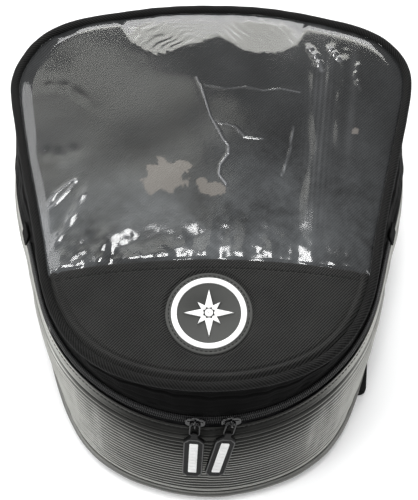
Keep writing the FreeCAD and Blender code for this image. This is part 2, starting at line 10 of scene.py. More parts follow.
import bmesh
import bpy
import numpy as np
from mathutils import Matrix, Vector


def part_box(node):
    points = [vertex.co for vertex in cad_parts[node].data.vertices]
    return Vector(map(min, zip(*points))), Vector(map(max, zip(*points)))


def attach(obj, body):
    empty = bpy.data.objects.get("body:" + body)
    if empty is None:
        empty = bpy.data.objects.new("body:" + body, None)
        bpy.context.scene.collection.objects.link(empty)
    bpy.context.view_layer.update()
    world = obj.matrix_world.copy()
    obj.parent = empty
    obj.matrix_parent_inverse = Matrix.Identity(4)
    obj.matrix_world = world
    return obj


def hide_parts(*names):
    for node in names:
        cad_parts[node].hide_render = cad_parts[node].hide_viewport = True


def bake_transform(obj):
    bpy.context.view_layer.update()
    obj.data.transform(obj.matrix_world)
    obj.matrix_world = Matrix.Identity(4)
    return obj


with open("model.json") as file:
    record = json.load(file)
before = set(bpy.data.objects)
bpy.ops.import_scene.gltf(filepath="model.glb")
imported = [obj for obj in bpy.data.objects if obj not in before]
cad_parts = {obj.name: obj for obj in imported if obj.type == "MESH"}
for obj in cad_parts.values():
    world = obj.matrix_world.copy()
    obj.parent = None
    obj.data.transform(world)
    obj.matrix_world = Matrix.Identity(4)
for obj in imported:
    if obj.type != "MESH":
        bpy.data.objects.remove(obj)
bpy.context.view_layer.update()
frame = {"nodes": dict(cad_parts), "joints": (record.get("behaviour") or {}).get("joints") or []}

MM = 0.001
JOINTS = {joint["name"]: joint for joint in frame["joints"]}
NODES = frame["nodes"]
SIDES = (("left", -1), ("right", 1))

# Right half of each closed outline, from the middle of the narrow end to the middle of the wide end.
LID_HALF = [(0, -130), (56, -122.5), (98, -100), (122, -66), (137, -8), (152, 56), (166, 122),
            (169, 158), (151, 188), (106, 208), (52, 220), (0, 223)]
REAR_HALF = [(165, 60), (171, 126), (172, 159), (154, 188.5), (108, 209), (54, 219.4), (0, 222.4)]
BASE_HALF = [(0, -197), (40, -191.5), (76, -177.5), (103, -156.5), (121, -129), (135, -94),
             (147.5, -54), (158.5, -17), (166, 28), (169, 80), (165, 135), (148, 161), (110, 176),
             (55, 186), (0, 189)]
ZIP_RADIUS = 144.0
ZIP_HALF_ANGLE = math.radians(75)
ZIP_RUN = 49.0
ZIP_LEAN = math.radians(18)
SEWN_EDGE = 9.8
LID_HEIGHT = 40.0
PIPING_RADIUS = 3.6
SEAM_MIDDLE_V = -26.5
SEAM_END = (140.0, -41.0)
PANEL_HEIGHT = 41.2
BACKING_HEIGHT = 40.3
LID_LINING_HEIGHT = 34.9

# Rough lengths once round the bag, which only scale the patterns along it.
WALL_RUN = 1080.0
LINING_RUN = 1040.0
BAND_RUN = 1100.0
PIPING_RUN = 1130.0


# ---------------------------------------------------------------- frames

def in_mm(vector):
    return np.array(vector, float) / MM


TRAVEL = JOINTS["right_slider_travel"]
LID_ORIGIN = in_mm(TRAVEL["pos_m"])
W_AXIS = np.array(TRAVEL["axis"], float) / np.linalg.norm(TRAVEL["axis"])
X_AXIS = np.array([1.0, 0.0, 0.0])
Z_AXIS = np.array([0.0, 0.0, 1.0])
LID_AXES = np.array([X_AXIS, np.cross(W_AXIS, X_AXIS), W_AXIS])


def slumped(points):
    """Lid points, in the lid's own frame, with the soft wide corners out of true as on a used bag."""
    x, v, height = points[..., 0], points[..., 1], points[..., 2]
    left = np.exp(-((x + 142) / 30) ** 2 - ((v - 163) / 22) ** 2)
    left_end = np.exp(-((x + 105) / 30) ** 2 - ((v - 188) / 25) ** 2)
    right = np.exp(-((x - 150) / 45) ** 2 - ((v - 128) / 50) ** 2)
    change = np.stack([7.0 * left + 3.6 * right, -2.5 * left + 1.5 * right + 4.5 * left_end, 0 * x], -1)
    return points + change * smooth(3, 32, height)[..., None]


def from_lid(points):
    """Points in the lid's frame (across, along, up from the zipper plane) as places in millimetres."""
    return LID_ORIGIN + slumped(np.asarray(points, float)) @ LID_AXES


def lifted(flat, height):
    """Flat points with a height, or with one height each."""
    flat = np.asarray(flat, float)
    return np.concatenate([flat, np.broadcast_to(height, flat.shape[:-1])[..., None]], -1)


def node_box(name):
    """Low and high corner of a CAD node, in millimetres."""
    return [in_mm(corner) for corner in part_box(name)]


def metres(points):
    return tuple(float(value) * MM for value in points)


# ---------------------------------------------------------------- camera, light and floor

CARD_HEIGHT = 1.7


def add_object(name, data):
    made = bpy.data.objects.new(name, data)
    bpy.context.scene.collection.objects.link(made)
    return made


def add_mesh(name, points, faces, material):
    mesh = bpy.data.meshes.new(name)
    mesh.from_pydata(points, [], faces)
    mesh.materials.append(material)
    return add_object(name, mesh)


def aim(seeing, direction):
    """Turn a camera or a lamp to look along a direction."""
    seeing.rotation_euler = direction.to_track_quat("-Z", "Y").to_euler()


def add_camera():
    target = Vector((0, -0.043, 0.158))
    elevation = math.radians(60)
    distance = 0.8
    data = bpy.data.cameras.new("camera")
    data.sensor_width = 36
    data.lens = 72
    data.clip_start = 0.05
    back = Vector((0, -math.cos(elevation), math.sin(elevation)))
    camera = add_object("camera", data)
    camera.location = target + back * distance
    aim(camera, -back)
    bpy.context.scene.camera = camera


def add_area_light(name, place, target, size, power):
    data = bpy.data.lights.new(name, "AREA")
    data.shape = "RECTANGLE"
    data.size, data.size_y = size
    data.energy = power
    light = add_object(name, data)
    light.location = place
    aim(light, Vector(target) - Vector(place))


def connect(tree, value, socket):
    """Link a socket to an output, or set its value."""
    if isinstance(value, bpy.types.NodeSocket):
        tree.links.new(value, socket)
    else:
        socket.default_value = value


def add_node(tree, kind, inputs=(), output=0, **settings):
    """Output of a new shader node, with some of its inputs linked or set."""
    node = tree.nodes.new("ShaderNode" + kind)
    for key, value in settings.items():
        setattr(node, key, value)
    for key, value in dict(inputs).items():
        connect(tree, value, node.inputs[key])
    return node.outputs[output]


def map_range(tree, value, low, high, new_low, new_high):
    inputs = {"Value": value, "From Min": low, "From Max": high, "To Min": new_low, "To Max": new_high}
    return add_node(tree, "MapRange", inputs)


def add_card(name, outline, strength, fade):
    """Glowing studio card, seen only as a reflection, dimmer towards +X and, below fade, towards -Y."""
    material = bpy.data.materials.new(name)
    material.use_nodes = True
    tree = material.node_tree
    tree.nodes.clear()
    place = tree.nodes.new("ShaderNodeSeparateXYZ")
    connect(tree, add_node(tree, "TexCoord", output="Object"), place.inputs[0])
    across = map_range(tree, place.outputs["X"], -0.75, 0.05, 1.0, 0.72)
    deep = map_range(tree, place.outputs["Y"], *fade, 0.12, 1.0)
    level = add_node(tree, "Math", {0: across, 1: deep}, operation="MULTIPLY")
    level = add_node(tree, "Math", {0: level, 1: strength}, operation="MULTIPLY")
    glow = add_node(tree, "Emission", {"Color": (1.0, 1.0, 0.94, 1.0), "Strength": level})
    connect(tree, glow, tree.nodes.new("ShaderNodeOutputMaterial").inputs["Surface"])
    card = add_mesh(name, [(x, y, CARD_HEIGHT) for x, y in outline], [range(len(outline))], material)
    card.visible_camera = False
    card.visible_diffuse = False
    card.visible_shadow = False


def add_studio():
    scene = bpy.context.scene
    scene.view_settings.view_transform = "Standard"
    world = bpy.data.worlds.new("studio")
    world.use_nodes = True
    sky = world.node_tree.nodes["Background"]
    sky.inputs["Color"].default_value = (0.96, 0.98, 1.0, 1)
    sky.inputs["Strength"].default_value = 0.2
    scene.world = world

    middle = (0, 0, 0.08)
    add_area_light("left_softbox", (-1.6, -0.5, 1.3), middle, (1.2, 1.2), 23)
    add_area_light("right_softbox", (1.6, -0.5, 1.3), middle, (1.2, 1.2), 14)
    add_area_light("rear_softbox", (0.05, 2.02, 1.34), middle, (1.9, 1.1), 36)
    add_area_light("top_lamp", (-0.05, 0.0, 1.7), middle, (0.9, 0.36), 14)
    add_area_light("side_strip", (-1.25, 0.6, 1.5), middle, (0.8, 1.2), 9)
    edge = [(-0.224, 1.169), (-0.15, 1.09), (-0.10, 1.045), (-0.01, 0.93), (0.015, 0.79), (0.052, 0.69),
            (0.03, 0.52), (-0.25, 0.45), (-0.82, 0.45), (-0.82, 1.25)]
    add_card("left_card", edge, 1.95, (0.5, 0.85))
    add_card("rear_card", [(-0.5, 1.33), (0.8, 1.33), (0.9, 1.9), (-0.6, 1.9)], 7.0, (-1, 0))

    paper = Finish("floor_paper", (0.93, 0.93, 0.93), 0.9)
    paper.set("Emission Color", (1.0, 1.0, 1.0, 1.0))
    paper.set("Emission Strength", 0.12)
    paper.tint(paper.noise(0.004, detail=2, position="object"), 0.01)
    corners = [(-4, -4, 0), (4, -4, 0), (4, 4, 0), (-4, 4, 0)]
    add_mesh("floor", corners, [(0, 1, 2, 3)], paper.material)


# ---------------------------------------------------------------- materials

class Finish:
    """Procedural material. Lengths in its patterns are millimetres on the cloth or in the object."""

    def __init__(self, name, colour, roughness, **fixed):
        self.material = bpy.data.materials.new(name)
        self.material.use_nodes = True
        self.tree = self.material.node_tree
        self.shader = self.tree.nodes["Principled BSDF"]
        self.set("Base Color", (*colour, 1))
        self.set("Roughness", roughness)
        for socket, value in fixed.items():
            self.set(socket.replace("_", " "), value)
        self.colour = colour
        self.height = None

    def set(self, socket, value):
        connect(self.tree, value, self.shader.inputs[socket])

    def node(self, kind, inputs=(), output=0, **settings):
        return add_node(self.tree, kind, inputs, output, **settings)

    def math(self, operation, first, second=0.0, third=0.0):
        inputs = {0: first, 1: second, 2: third}
        return self.node("Math", inputs, operation=operation)

    def mix(self, share, first, second):
        """Colour between two colours."""
        node = self.tree.nodes.new("ShaderNodeMix")
        node.data_type = "RGBA"
        connect(self.tree, share, node.inputs[0])
        for value, socket in ((first, node.inputs[6]), (second, node.inputs[7])):
            value = value if isinstance(value, bpy.types.NodeSocket) else (*value, 1)
            connect(self.tree, value, socket)
        return node.outputs[2]

    def place(self, position):
        """Millimetres along the cloth, or in the object."""
        if position == "cloth":
            return self.node("UVMap", uv_map="UVMap")
        coordinates = self.node("TexCoord", output="Object")
        return self.node("VectorMath", {0: coordinates, "Scale": 1 / MM}, operation="SCALE")

    def noise(self, per_mm, detail=3, position="cloth", stretch=(1, 1, 1)):
        where = self.node("VectorMath", {0: self.place(position), 1: stretch}, operation="MULTIPLY")
        return self.node("TexNoise", {"Vector": where, "Scale": per_mm, "Detail": detail})

    def cells(self, per_mm):
        return self.node("TexVoronoi", {"Vector": self.place("cloth"), "Scale": per_mm})

    def wave(self, across, along, pitch, position="cloth"):
        """Ridges of that pitch, 0 to 1, square to the direction (across, along)."""
        size = math.hypot(across, along)
        parts = self.tree.nodes.new("ShaderNodeSeparateXYZ")
        connect(self.tree, self.place(position), parts.inputs[0])
        run = self.math("MULTIPLY", parts.outputs[0], across / size * math.tau / pitch)
        phase = self.math("MULTIPLY_ADD", parts.outputs[1], along / size * math.tau / pitch, run)
        return self.math("MULTIPLY_ADD", self.math("SINE", phase), 0.5, 0.5)

    def range(self, value, low, high, new_low=0.0, new_high=1.0):
        return map_range(self.tree, value, low, high, new_low, new_high)

    def tint(self, value, depth):
        """Base colour that varies with value by about depth, as a share."""
        dark = tuple(c * (1 - depth) for c in self.colour)
        light = tuple(min(1.0, c * (1 + depth)) for c in self.colour)
        self.set("Base Color", self.mix(value, dark, light))

    def rough(self, value, low, high):
        self.set("Roughness", self.range(value, 0.25, 0.75, low, high))

    def bump(self, height, depth):
        """Relief of that depth in millimetres."""
        inputs = {"Height": height, "Distance": depth * MM, "Strength": 1.0}
        if self.height is not None:
            inputs["Normal"] = self.height
        self.height = self.node("Bump", inputs)
        self.set("Normal", self.height)


def woven(name, colour, pitch, roughness=0.8, slant=(1, 1), relief=0.25, contrast=0.6, position="cloth",
          shine=0.06, **fixed):
    """Twill or, with a slant along one thread, plain or ribbed cloth."""
    finish = Finish(name, colour, roughness, **fixed)
    finish.set("Specular IOR Level", shine)
    ridge = finish.wave(*slant, pitch, position)
    thread = finish.wave(slant[1], -slant[0], pitch * 1.3, position)
    fibre = finish.noise(0.9, 3, position)
    cloud = finish.noise(0.03, 4, position)
    weave = finish.math("MULTIPLY_ADD", ridge, 0.88, finish.math("MULTIPLY", thread, 0.12))
    shade = finish.math("MULTIPLY_ADD", weave, 0.62, finish.math("MULTIPLY", fibre, 0.7))
    shade = finish.math("MULTIPLY_ADD", cloud, 0.3, shade)
    finish.tint(finish.range(shade, 0.45, 1.15), contrast)
    finish.rough(fibre, roughness - 0.1, roughness + 0.1)
    finish.bump(weave, relief)
    finish.bump(fibre, relief * 0.5)
    return finish.material


def moulded(name, colour, roughness, grain, relief, **fixed):
    """Moulded rubber or plastic, with fine grain, dust in the grain and slight shine changes."""
    finish = Finish(name, colour, roughness, **fixed)
    pits = finish.noise(grain, 3, "object")
    cloud = finish.noise(0.08, 3, "object")
    finish.tint(cloud, 0.25)
    finish.rough(cloud, roughness * 0.8, roughness * 1.2)
    finish.bump(pits, relief)
    return finish.material


def ribbed_vinyl(name, ribbed):
    """Black vinyl with a pearly shine, pressed with a fine weave and scuffed in places; when ribbed,
    painted shade takes its gloss off under the zipper.
    """
    finish = Finish(name, (0.017, 0.017, 0.0162), 0.3, IOR=2.8, Coat_Weight=0.25, Coat_Roughness=0.25)
    finish.set("Specular Tint", (1.0, 1.0, 0.94, 1.0))
    warp = finish.wave(1, 0, 1.5)
    weft = finish.wave(0, 1, 1.5)
    cell = finish.math("MULTIPLY", warp, weft)
    cloud = finish.noise(0.02, 4)
    scuff = finish.noise(0.5, 4, stretch=(0.3, 1, 1))
    shade = finish.math("MULTIPLY_ADD", cloud, 0.6, finish.math("MULTIPLY", scuff, 0.4))
    finish.tint(finish.range(shade, 0.3, 0.7), 0.35)
    rough = finish.range(shade, 0.3, 0.7, 0.28, 0.4)
    if ribbed:
        groove = finish.node("Attribute", attribute_name="groove", output=2)
        # Painted shade: this attribute takes the gloss and coat off in a band under the zipper at the
        # front, and a little off the sides.
        painted_shade_and_dulling = finish.node("Attribute", attribute_name="painted_shade_and_dulling", output=2)
        rough = finish.math("MULTIPLY_ADD", groove, 0.25, rough)
        raised = finish.range(groove, 0, 1, 1.0, 0.05)
        slope = finish.range(finish.node("LayerWeight", output=1), 0.05, 0.24, 0.25, 1.0)
        gloss_outside_shade = finish.math("MULTIPLY", finish.range(painted_shade_and_dulling, 0, 1, 1, 0.06), slope)
        finish.set("Specular IOR Level", finish.math("MULTIPLY", raised, gloss_outside_shade))
        finish.set("Coat Weight", finish.range(painted_shade_and_dulling, 0, 1, 0.2, 0.0))
    else:
        finish.set("Specular IOR Level", 0.3)
        rough = finish.math("ADD", rough, 0.15)
    finish.set("Roughness", rough)
    finish.bump(cell, 0.06)
    return finish.material


def grained_vinyl(name, colour):
    """Dull vinyl with a pebbled grain."""
    roughness = 0.45
    finish = Finish(name, colour, roughness, Specular_IOR_Level=0.6)
    grain = finish.cells(1.1)
    cloud = finish.noise(0.05)
    finish.tint(cloud, 0.3)
    finish.rough(cloud, roughness - 0.08, roughness + 0.1)
    finish.bump(grain, 0.08)
    return finish.material


def clear_film():
    """Clear vinyl film with milky haze, grease, whitened creases and painted highlight streaks."""
    finish = Finish("clear_film", (0.1, 0.1, 0.11), 0.06, Alpha=0.3, IOR=2.2)
    mist = finish.noise(0.018, 5)
    speck = finish.noise(0.16, 4)
    low = finish.node("Attribute", attribute_name="mist", output=2)
    crease = finish.node("Attribute", attribute_name="crease", output=2)
    stain = finish.node("Attribute", attribute_name="stain", output=2)
    cloud = finish.range(finish.math("MULTIPLY_ADD", speck, 0.35, mist), 0.45, 0.95)
    haze = finish.math("MULTIPLY", finish.math("ADD", low, 0.12), cloud)
    colour = finish.mix(haze, (0.02, 0.021, 0.022), (0.30, 0.32, 0.335))
    colour = finish.mix(stain, colour, (0.52, 0.47, 0.42))
    # The crease attribute also carries painted highlight streaks along the slanted ridges.
    colour = finish.mix(crease, colour, (0.9, 0.92, 0.95))
    finish.set("Base Color", colour)
    finish.rough(mist, 0.08, 0.16)
    finish.bump(finish.noise(0.05, 2), 0.012)
    return finish.material


def enamel(name, colour, roughness):
    """Glossy painted die casting with smears and a slight orange peel."""
    finish = Finish(name, colour, roughness, Specular_IOR_Level=0.3, Coat_Weight=0.25,
                    Coat_Roughness=0.05)
    smear = finish.noise(0.25, 4, "object")
    peel = finish.noise(1.4, 2, "object")
    finish.tint(smear, 0.4)
    finish.rough(smear, roughness * 0.7, roughness * 1.5)
    finish.bump(peel, 0.04)
    return finish.material


def fuzzy_tape(name, colour, hooked):
    """Hook tape with rows of stiff hooks, or loop tape with tangled fibres."""
    finish = Finish(name, colour, 0.9)
    if hooked:
        rows = finish.math("MULTIPLY", finish.wave(1, 0, 1.6, "object"), finish.wave(0, 1, 1.6, "object"))
    else:
        rows = finish.noise(1.8, 5, "object")
    finish.tint(rows, 0.6)
    finish.bump(rows, 0.5)
    return finish.material


# ---------------------------------------------------------------- outlines

def looped(line):
    """A closed line with its first point repeated at its end."""
    return np.concatenate([line, line[:1]])


def unit(vectors):
    """Vectors scaled to length one."""
    return vectors / np.linalg.norm(vectors, axis=-1)[..., None]


def run_of(line):
    """Distance along a line of points, at each point."""
    return np.concatenate([[0], np.cumsum(np.linalg.norm(np.diff(line, axis=0), axis=1))])


def at_distances(line, along, at):
    """Points, or directions, interpolated at some distances along a line."""
    return np.stack([np.interp(at, along, line[:, axis]) for axis in range(line.shape[1])], -1)


def closed_curve(half, count, outset=0.0):
    """Evenly spaced points on the smooth closed curve through half an outline and its mirror image,
    moved outwards."""
    points = np.array(list(half) + [(-x, y) for x, y in reversed(half[1:-1])], float)
    following = np.roll(points, -1, axis=0)
    span = np.linalg.norm(following - points, axis=1)
    number = len(points)
    system = np.zeros((number, number))
    right = np.zeros((number, 2))
    for index in range(number):
        before, after = span[index - 1], span[index]
        ahead = (index + 1) % number
        system[index, index - 1] += before
        system[index, index] += 2 * (before + after)
        system[index, ahead] += after
        right[index] = 6 * ((following[index] - points[index]) / after
                            - (points[index] - points[index - 1]) / before)
    bend = np.linalg.solve(system, right)
    share = np.linspace(0, 1, 160, endpoint=False)[:, None]
    fine = []
    for index in range(number):
        ahead = (index + 1) % number
        cubic = ((1 - share) ** 3 - (1 - share)) * bend[index] + (share ** 3 - share) * bend[ahead]
        fine.append((1 - share) * points[index] + share * points[ahead] + cubic * span[index] ** 2 / 6)
    fine = np.concatenate(fine + [points[:1]])
    along = run_of(fine)
    even = at_distances(fine, along, np.arange(count) * along[-1] / count)
    tangent = unit(np.roll(even, -1, 0) - np.roll(even, 1, 0))
    outwards = np.stack([tangent[:, 1], -tangent[:, 0]], 1)
    return even + outwards * outset


def chain_offset(up_slope, outwards):
    """Radius change and height of a point given up the zipper's face and out of it."""
    radius_change = -up_slope * math.sin(ZIP_LEAN) + outwards * math.cos(ZIP_LEAN)
    height = up_slope * math.cos(ZIP_LEAN) + outwards * math.sin(ZIP_LEAN)
    return radius_change, height


def chain_half(radius_change):
    radius = ZIP_RADIUS + radius_change
    angles = np.linspace(0, ZIP_HALF_ANGLE, 6)
    arc = [(radius * math.sin(angle), -radius * math.cos(angle)) for angle in angles]
    end_x, end_v = arc[-1]
    last = (end_x + ZIP_RUN * math.cos(ZIP_HALF_ANGLE), end_v + ZIP_RUN * math.sin(ZIP_HALF_ANGLE))
    rear = [(x + radius_change, y) for x, y in REAR_HALF[:3]]
    return arc + [last] + rear + REAR_HALF[3:]


def on_chain(along, up_slope, outwards):
    """Row-frame points at distances along the chain from its middle, up its face and out of it."""
    row = (np.asarray(value, float) for value in (along, up_slope, outwards))
    along, up_slope, outwards = np.broadcast_arrays(*row)
    limit = ZIP_RADIUS * ZIP_HALF_ANGLE
    on_arc = np.clip(along, -limit, limit)
    angle = on_arc / ZIP_RADIUS
    outward = np.stack([np.sin(angle), -np.cos(angle)], -1)
    forward = np.stack([np.cos(angle), np.sin(angle)], -1)
    radius_change, height = chain_offset(up_slope, outwards)
    flat = outward * (ZIP_RADIUS + radius_change)[..., None] + forward * (along - on_arc)[..., None]
    return from_lid(lifted(flat, height))


CHAIN_HALF_LENGTH = ZIP_RADIUS * ZIP_HALF_ANGLE + ZIP_RUN


def smooth(low, high, value):
    share = np.clip((np.asarray(value, float) - low) / (high - low), 0, 1)
    return share * share * (3 - 2 * share)


def round_run(length, columns):
    """Distance round the bag at each column of a grid that runs round it."""
    return np.linspace(0, length, columns, endpoint=False)[None, :]


def bell(value, middle, width):
    """Bell curve, 1 at the middle and about a third one width away."""
    return np.exp(-((value - middle) / width) ** 2)


def ripples(x, y, wavelength, seed, count=14):
    """Smooth random field of about that wavelength, mostly between -1 and 1."""
    chance = np.random.default_rng(seed)
    total = np.zeros(np.broadcast(x, y).shape)
    for _ in range(count):
        angle = chance.uniform(0, math.tau)
        size = math.tau / (wavelength * chance.uniform(0.7, 1.5))
        phase = chance.uniform(0, math.tau)
        total += np.cos((x * math.cos(angle) + y * math.sin(angle)) * size + phase)
    return total / math.sqrt(count / 2) / 1.6


def distance_to(points, line, closed=False):
    """Distance from flat points to a line of points, and the share of the way along it."""
    points = np.asarray(points, float)
    line = np.asarray(line, float)
    if closed:
        line = looped(line)
    best = np.full(points.shape[:-1], np.inf)
    share = np.zeros(points.shape[:-1])
    for index, (start, end) in enumerate(zip(line[:-1], line[1:])):
        step = end - start
        along = np.clip(((points - start) @ step) / (step @ step), 0, 1)
        far = np.linalg.norm(points - start - along[..., None] * step, axis=-1)
        share = np.where(far < best, (index + along) / (len(line) - 1), share)
        best = np.minimum(best, far)
    return best, share


# ---------------------------------------------------------------- meshes

def ring_faces(count, rings):
    """Four-sided faces between loops of count points, each loop joined to the next."""
    sides = [(index, (index + 1) % count) for index in range(count)]
    return [(low + one, low + other, low + count + other, low + count + one)
            for low in range(0, rings * count, count) for one, other in sides]


def mesh_object(name, points, faces, material, corner_uv=None, sharp=False):
    """Mesh of points in millimetres, with texture coordinates for each corner of each face."""
    made = add_mesh(name, (np.asarray(points).reshape(-1, 3) * MM).tolist(), faces, material)
    mesh = made.data
    if corner_uv is not None:
        layer = mesh.uv_layers.new(name="UVMap")
        layer.data.foreach_set("uv", np.asarray(corner_uv, np.float32).ravel())
    mesh.polygons.foreach_set("use_smooth", [not sharp] * len(mesh.polygons))
    return made


def steps_along(points, axis):
    """Distances along one axis of a grid, averaged over the other."""
    return np.linalg.norm(np.diff(points, axis=axis), axis=-1).mean(axis=1 - axis)


def grid_object(name, points, material, wrap_rows=True, wrap_columns=True):
    """Mesh of a grid of points, with a cap at each end unless the columns run round and meet."""
    points = np.asarray(points, float)
    rows, columns = points.shape[:2]
    closed = points
    if wrap_rows:
        closed = np.concatenate([closed, closed[:1]], 0)
    if wrap_columns:
        closed = np.concatenate([closed, closed[:, :1]], 1)
    u = np.concatenate([[0], np.cumsum(steps_along(closed, 1))])
    v = -np.concatenate([[0], np.cumsum(steps_along(closed, 0))])
    r, c = np.meshgrid(np.arange(len(v) - 1), np.arange(len(u) - 1), indexing="ij")
    r_next, c_next = (r + 1) % rows, (c + 1) % columns
    faces = np.stack([r * columns + c, r_next * columns + c, r_next * columns + c_next,
                      r * columns + c_next], -1).reshape(-1, 4).tolist()
    uv = np.stack([np.stack([u[c], v[r]], -1), np.stack([u[c], v[r + 1]], -1),
                   np.stack([u[c + 1], v[r + 1]], -1), np.stack([u[c + 1], v[r]], -1)], -2).reshape(-1, 2)
    if not wrap_columns:
        first = list(range(0, rows * columns, columns))
        last = [index + columns - 1 for index in reversed(first)]
        faces += [first, last]
        uv = np.concatenate([uv, np.zeros((2 * rows, 2))])
    return mesh_object(name, points, faces, material, uv)


def normals_of(points):
    """Outward directions of a grid whose columns run round and meet."""
    down = np.gradient(points, axis=0)
    along = (np.roll(points, -1, 1) - np.roll(points, 1, 1)) / 2
    normal = np.cross(down, along)
    return normal / np.maximum(np.linalg.norm(normal, axis=-1), 1e-9)[..., None]


def shell(name, outer, thickness, material):
    """Closed sheet of cloth or vinyl behind a grid of points that runs round the bag."""
    normal = normals_of(outer)
    inner_rows = 8
    pick = np.linspace(len(outer) - 1, 0, inner_rows).round().astype(int)
    inner = outer[pick] - normal[pick] * thickness
    points = np.concatenate([outer, inner])
    return grid_object(name, points, material)


def tube(name, line, radius, up, material, sides, closed=True):
    """Round cord along a line of points; radius may be a number or an array of sides by points."""
    line = np.asarray(line, float)
    tangent = unit(np.roll(line, -1, 0) - np.roll(line, 1, 0) if closed else np.gradient(line, axis=0))
    outward = unit(np.cross(tangent, up))
    lift = np.cross(outward, tangent)
    angle = np.arange(sides) * math.tau / sides
    ring = np.cos(angle)[:, None, None] * lift + np.sin(angle)[:, None, None] * outward
    reach = np.broadcast_to(radius, (sides, len(line)))[..., None]
    return grid_object(name, line + ring * reach, material, wrap_columns=closed)


def resampled(line, count):
    """Evenly spaced points on a line."""
    along = run_of(line)
    return at_distances(line, along, np.linspace(0, along[-1], count))


def sew(name, line, normal, finishes, sizes, body=None):
    """Row of stitches along a line on a surface, each dipping in at its ends. The sizes are the length
    of a stitch, the gap after it and its thickness."""
    length, gap, thickness = sizes
    line = np.asarray(line, float)
    along = run_of(line)
    count = int(along[-1] / (length + gap))
    starts = np.arange(count) * (length + gap) + gap / 2
    stations = np.array([0, 0.12, 0.35, 0.65, 0.88, 1.0])
    lift = np.array([-0.9, 0.0, 0.35, 0.35, 0.0, -0.9]) * thickness
    width = np.array([0.5, 0.9, 1.0, 1.0, 0.9, 0.5]) * thickness / 2
    at = starts[:, None] + stations * length
    normal = np.broadcast_to(normal, line.shape)
    centre = at_distances(line, along, at)
    up = unit(at_distances(normal, along, at))
    side = unit(np.cross(np.gradient(centre, axis=1), up))
    centre = centre + up * lift[:, None]
    sides = 6
    angle = np.arange(sides) * math.tau / sides
    ring = (np.cos(angle)[:, None] * up[..., None, :] + np.sin(angle)[:, None] * side[..., None, :])
    points = centre[..., None, :] + ring * width[:, None, None]
    one = ring_faces(sides, len(stations) - 1)
    last = (len(stations) - 1) * sides
    ends = [list(range(sides)), [last + corner for corner in reversed(range(sides))]]
    block = len(stations) * sides
    faces = [[index * block + corner for corner in face] for index in range(count) for face in one + ends]
    finish_piece(mesh_object(name, points, faces, finishes["thread"]), body)


def fan(outline, centre, rings):
    """Loops of flat points that shrink from an outline to its centre, and the centre."""
    share = np.linspace(1, 0, rings + 1)[:-1]
    loops = centre + share[:, None, None] * (outline - centre)
    return np.concatenate([loops.reshape(-1, 2), [centre]])


def fan_object(name, flat, count, top, bottom, material):
    """Closed sheet between two layers of points that lie over a fan with count points in a loop."""
    under = len(flat)
    rings = (under - 1) // count
    last = (rings - 1) * count
    faces = ring_faces(count, rings - 1)
    faces += [(last + index, last + (index + 1) % count, under - 1) for index in range(count)]
    faces += [tuple(under + corner for corner in reversed(face)) for face in faces]
    faces += [(under + index, under + (index + 1) % count, (index + 1) % count, index)
              for index in range(count)]
    both = np.concatenate([flat, flat])
    corner_uv = both[np.concatenate([np.array(face) for face in faces])]
    return mesh_object(name, np.concatenate([top, bottom]), faces, material, corner_uv)


def lid_sheet(name, boundary, centre, rings, surface, thickness, material):
    """Closed thin sheet over a region of the lid; surface gives its upper height at flat points."""
    flat = fan(boundary, centre, rings)
    top = surface(flat)
    under = from_lid(lifted(flat, top - thickness))
    return fan_object(name, flat, len(boundary), from_lid(lifted(flat, top)), under, material), flat


def add_attribute(piece, name, values):
    """Float value per vertex; the under side of a sheet gets none."""
    attribute = piece.data.attributes.new(name, "FLOAT", "POINT")
    full = np.zeros(len(piece.data.vertices), np.float32)
    full[:len(values)] = values
    attribute.data.foreach_set("value", full)


def settled(points, pinned, slack, gravity, cap):
    """Change of place of a grid that runs round, in a cloth simulation that holds the pinned rows."""
    temporary = grid_object("settling", points, bpy.data.materials.new("settling"), wrap_rows=False)
    group = temporary.vertex_groups.new(name="pins")
    group.add([int(index) for index in np.flatnonzero(pinned.ravel())], 1.0, "REPLACE")
    cloth = temporary.modifiers.new("Cloth", "CLOTH")
    settings = cloth.settings
    settings.vertex_group_mass = "pins"
    settings.quality = 6
    settings.mass = 0.15
    settings.tension_stiffness = settings.compression_stiffness = 20
    settings.shear_stiffness = 8
    settings.bending_stiffness = 0.4
    settings.shrink_min = -slack
    settings.effector_weights.gravity = gravity
    frames = 18
    cloth.point_cache.frame_end = frames
    scene = bpy.context.scene
    for step in range(1, frames + 1):
        scene.frame_set(step)
    evaluated = temporary.evaluated_get(bpy.context.evaluated_depsgraph_get())
    moved = np.zeros(len(evaluated.data.vertices) * 3, np.float32)
    evaluated.data.vertices.foreach_get("co", moved)
    scene.frame_set(1)
    bpy.data.objects.remove(temporary)
    change = moved.reshape(points.shape).astype(float) / MM - points
    size = np.linalg.norm(change, axis=-1)
    return change * np.minimum(1, cap / np.maximum(size, 1e-9))[..., None]


def spread_out(change, rows, columns):
    """A coarse grid of changes that runs round, interpolated onto a finer one."""
    change = np.concatenate([change, change[:, :1]], 1)
    at_rows = np.linspace(0, len(change) - 1, rows)
    at_columns = np.linspace(0, change.shape[1] - 1, columns + 1)[:-1]

    def along(values, at, axis):
        low = np.clip(np.floor(at).astype(int), 0, values.shape[axis] - 2)
        share = at - low
        share = share * share * (3 - 2 * share)
        shape = [1, 1, 1]
        shape[axis] = -1
        share = share.reshape(shape)
        return np.take(values, low, axis) * (1 - share) + np.take(values, low + 1, axis) * share

    return along(along(change, at_rows, 0), at_columns, 1)


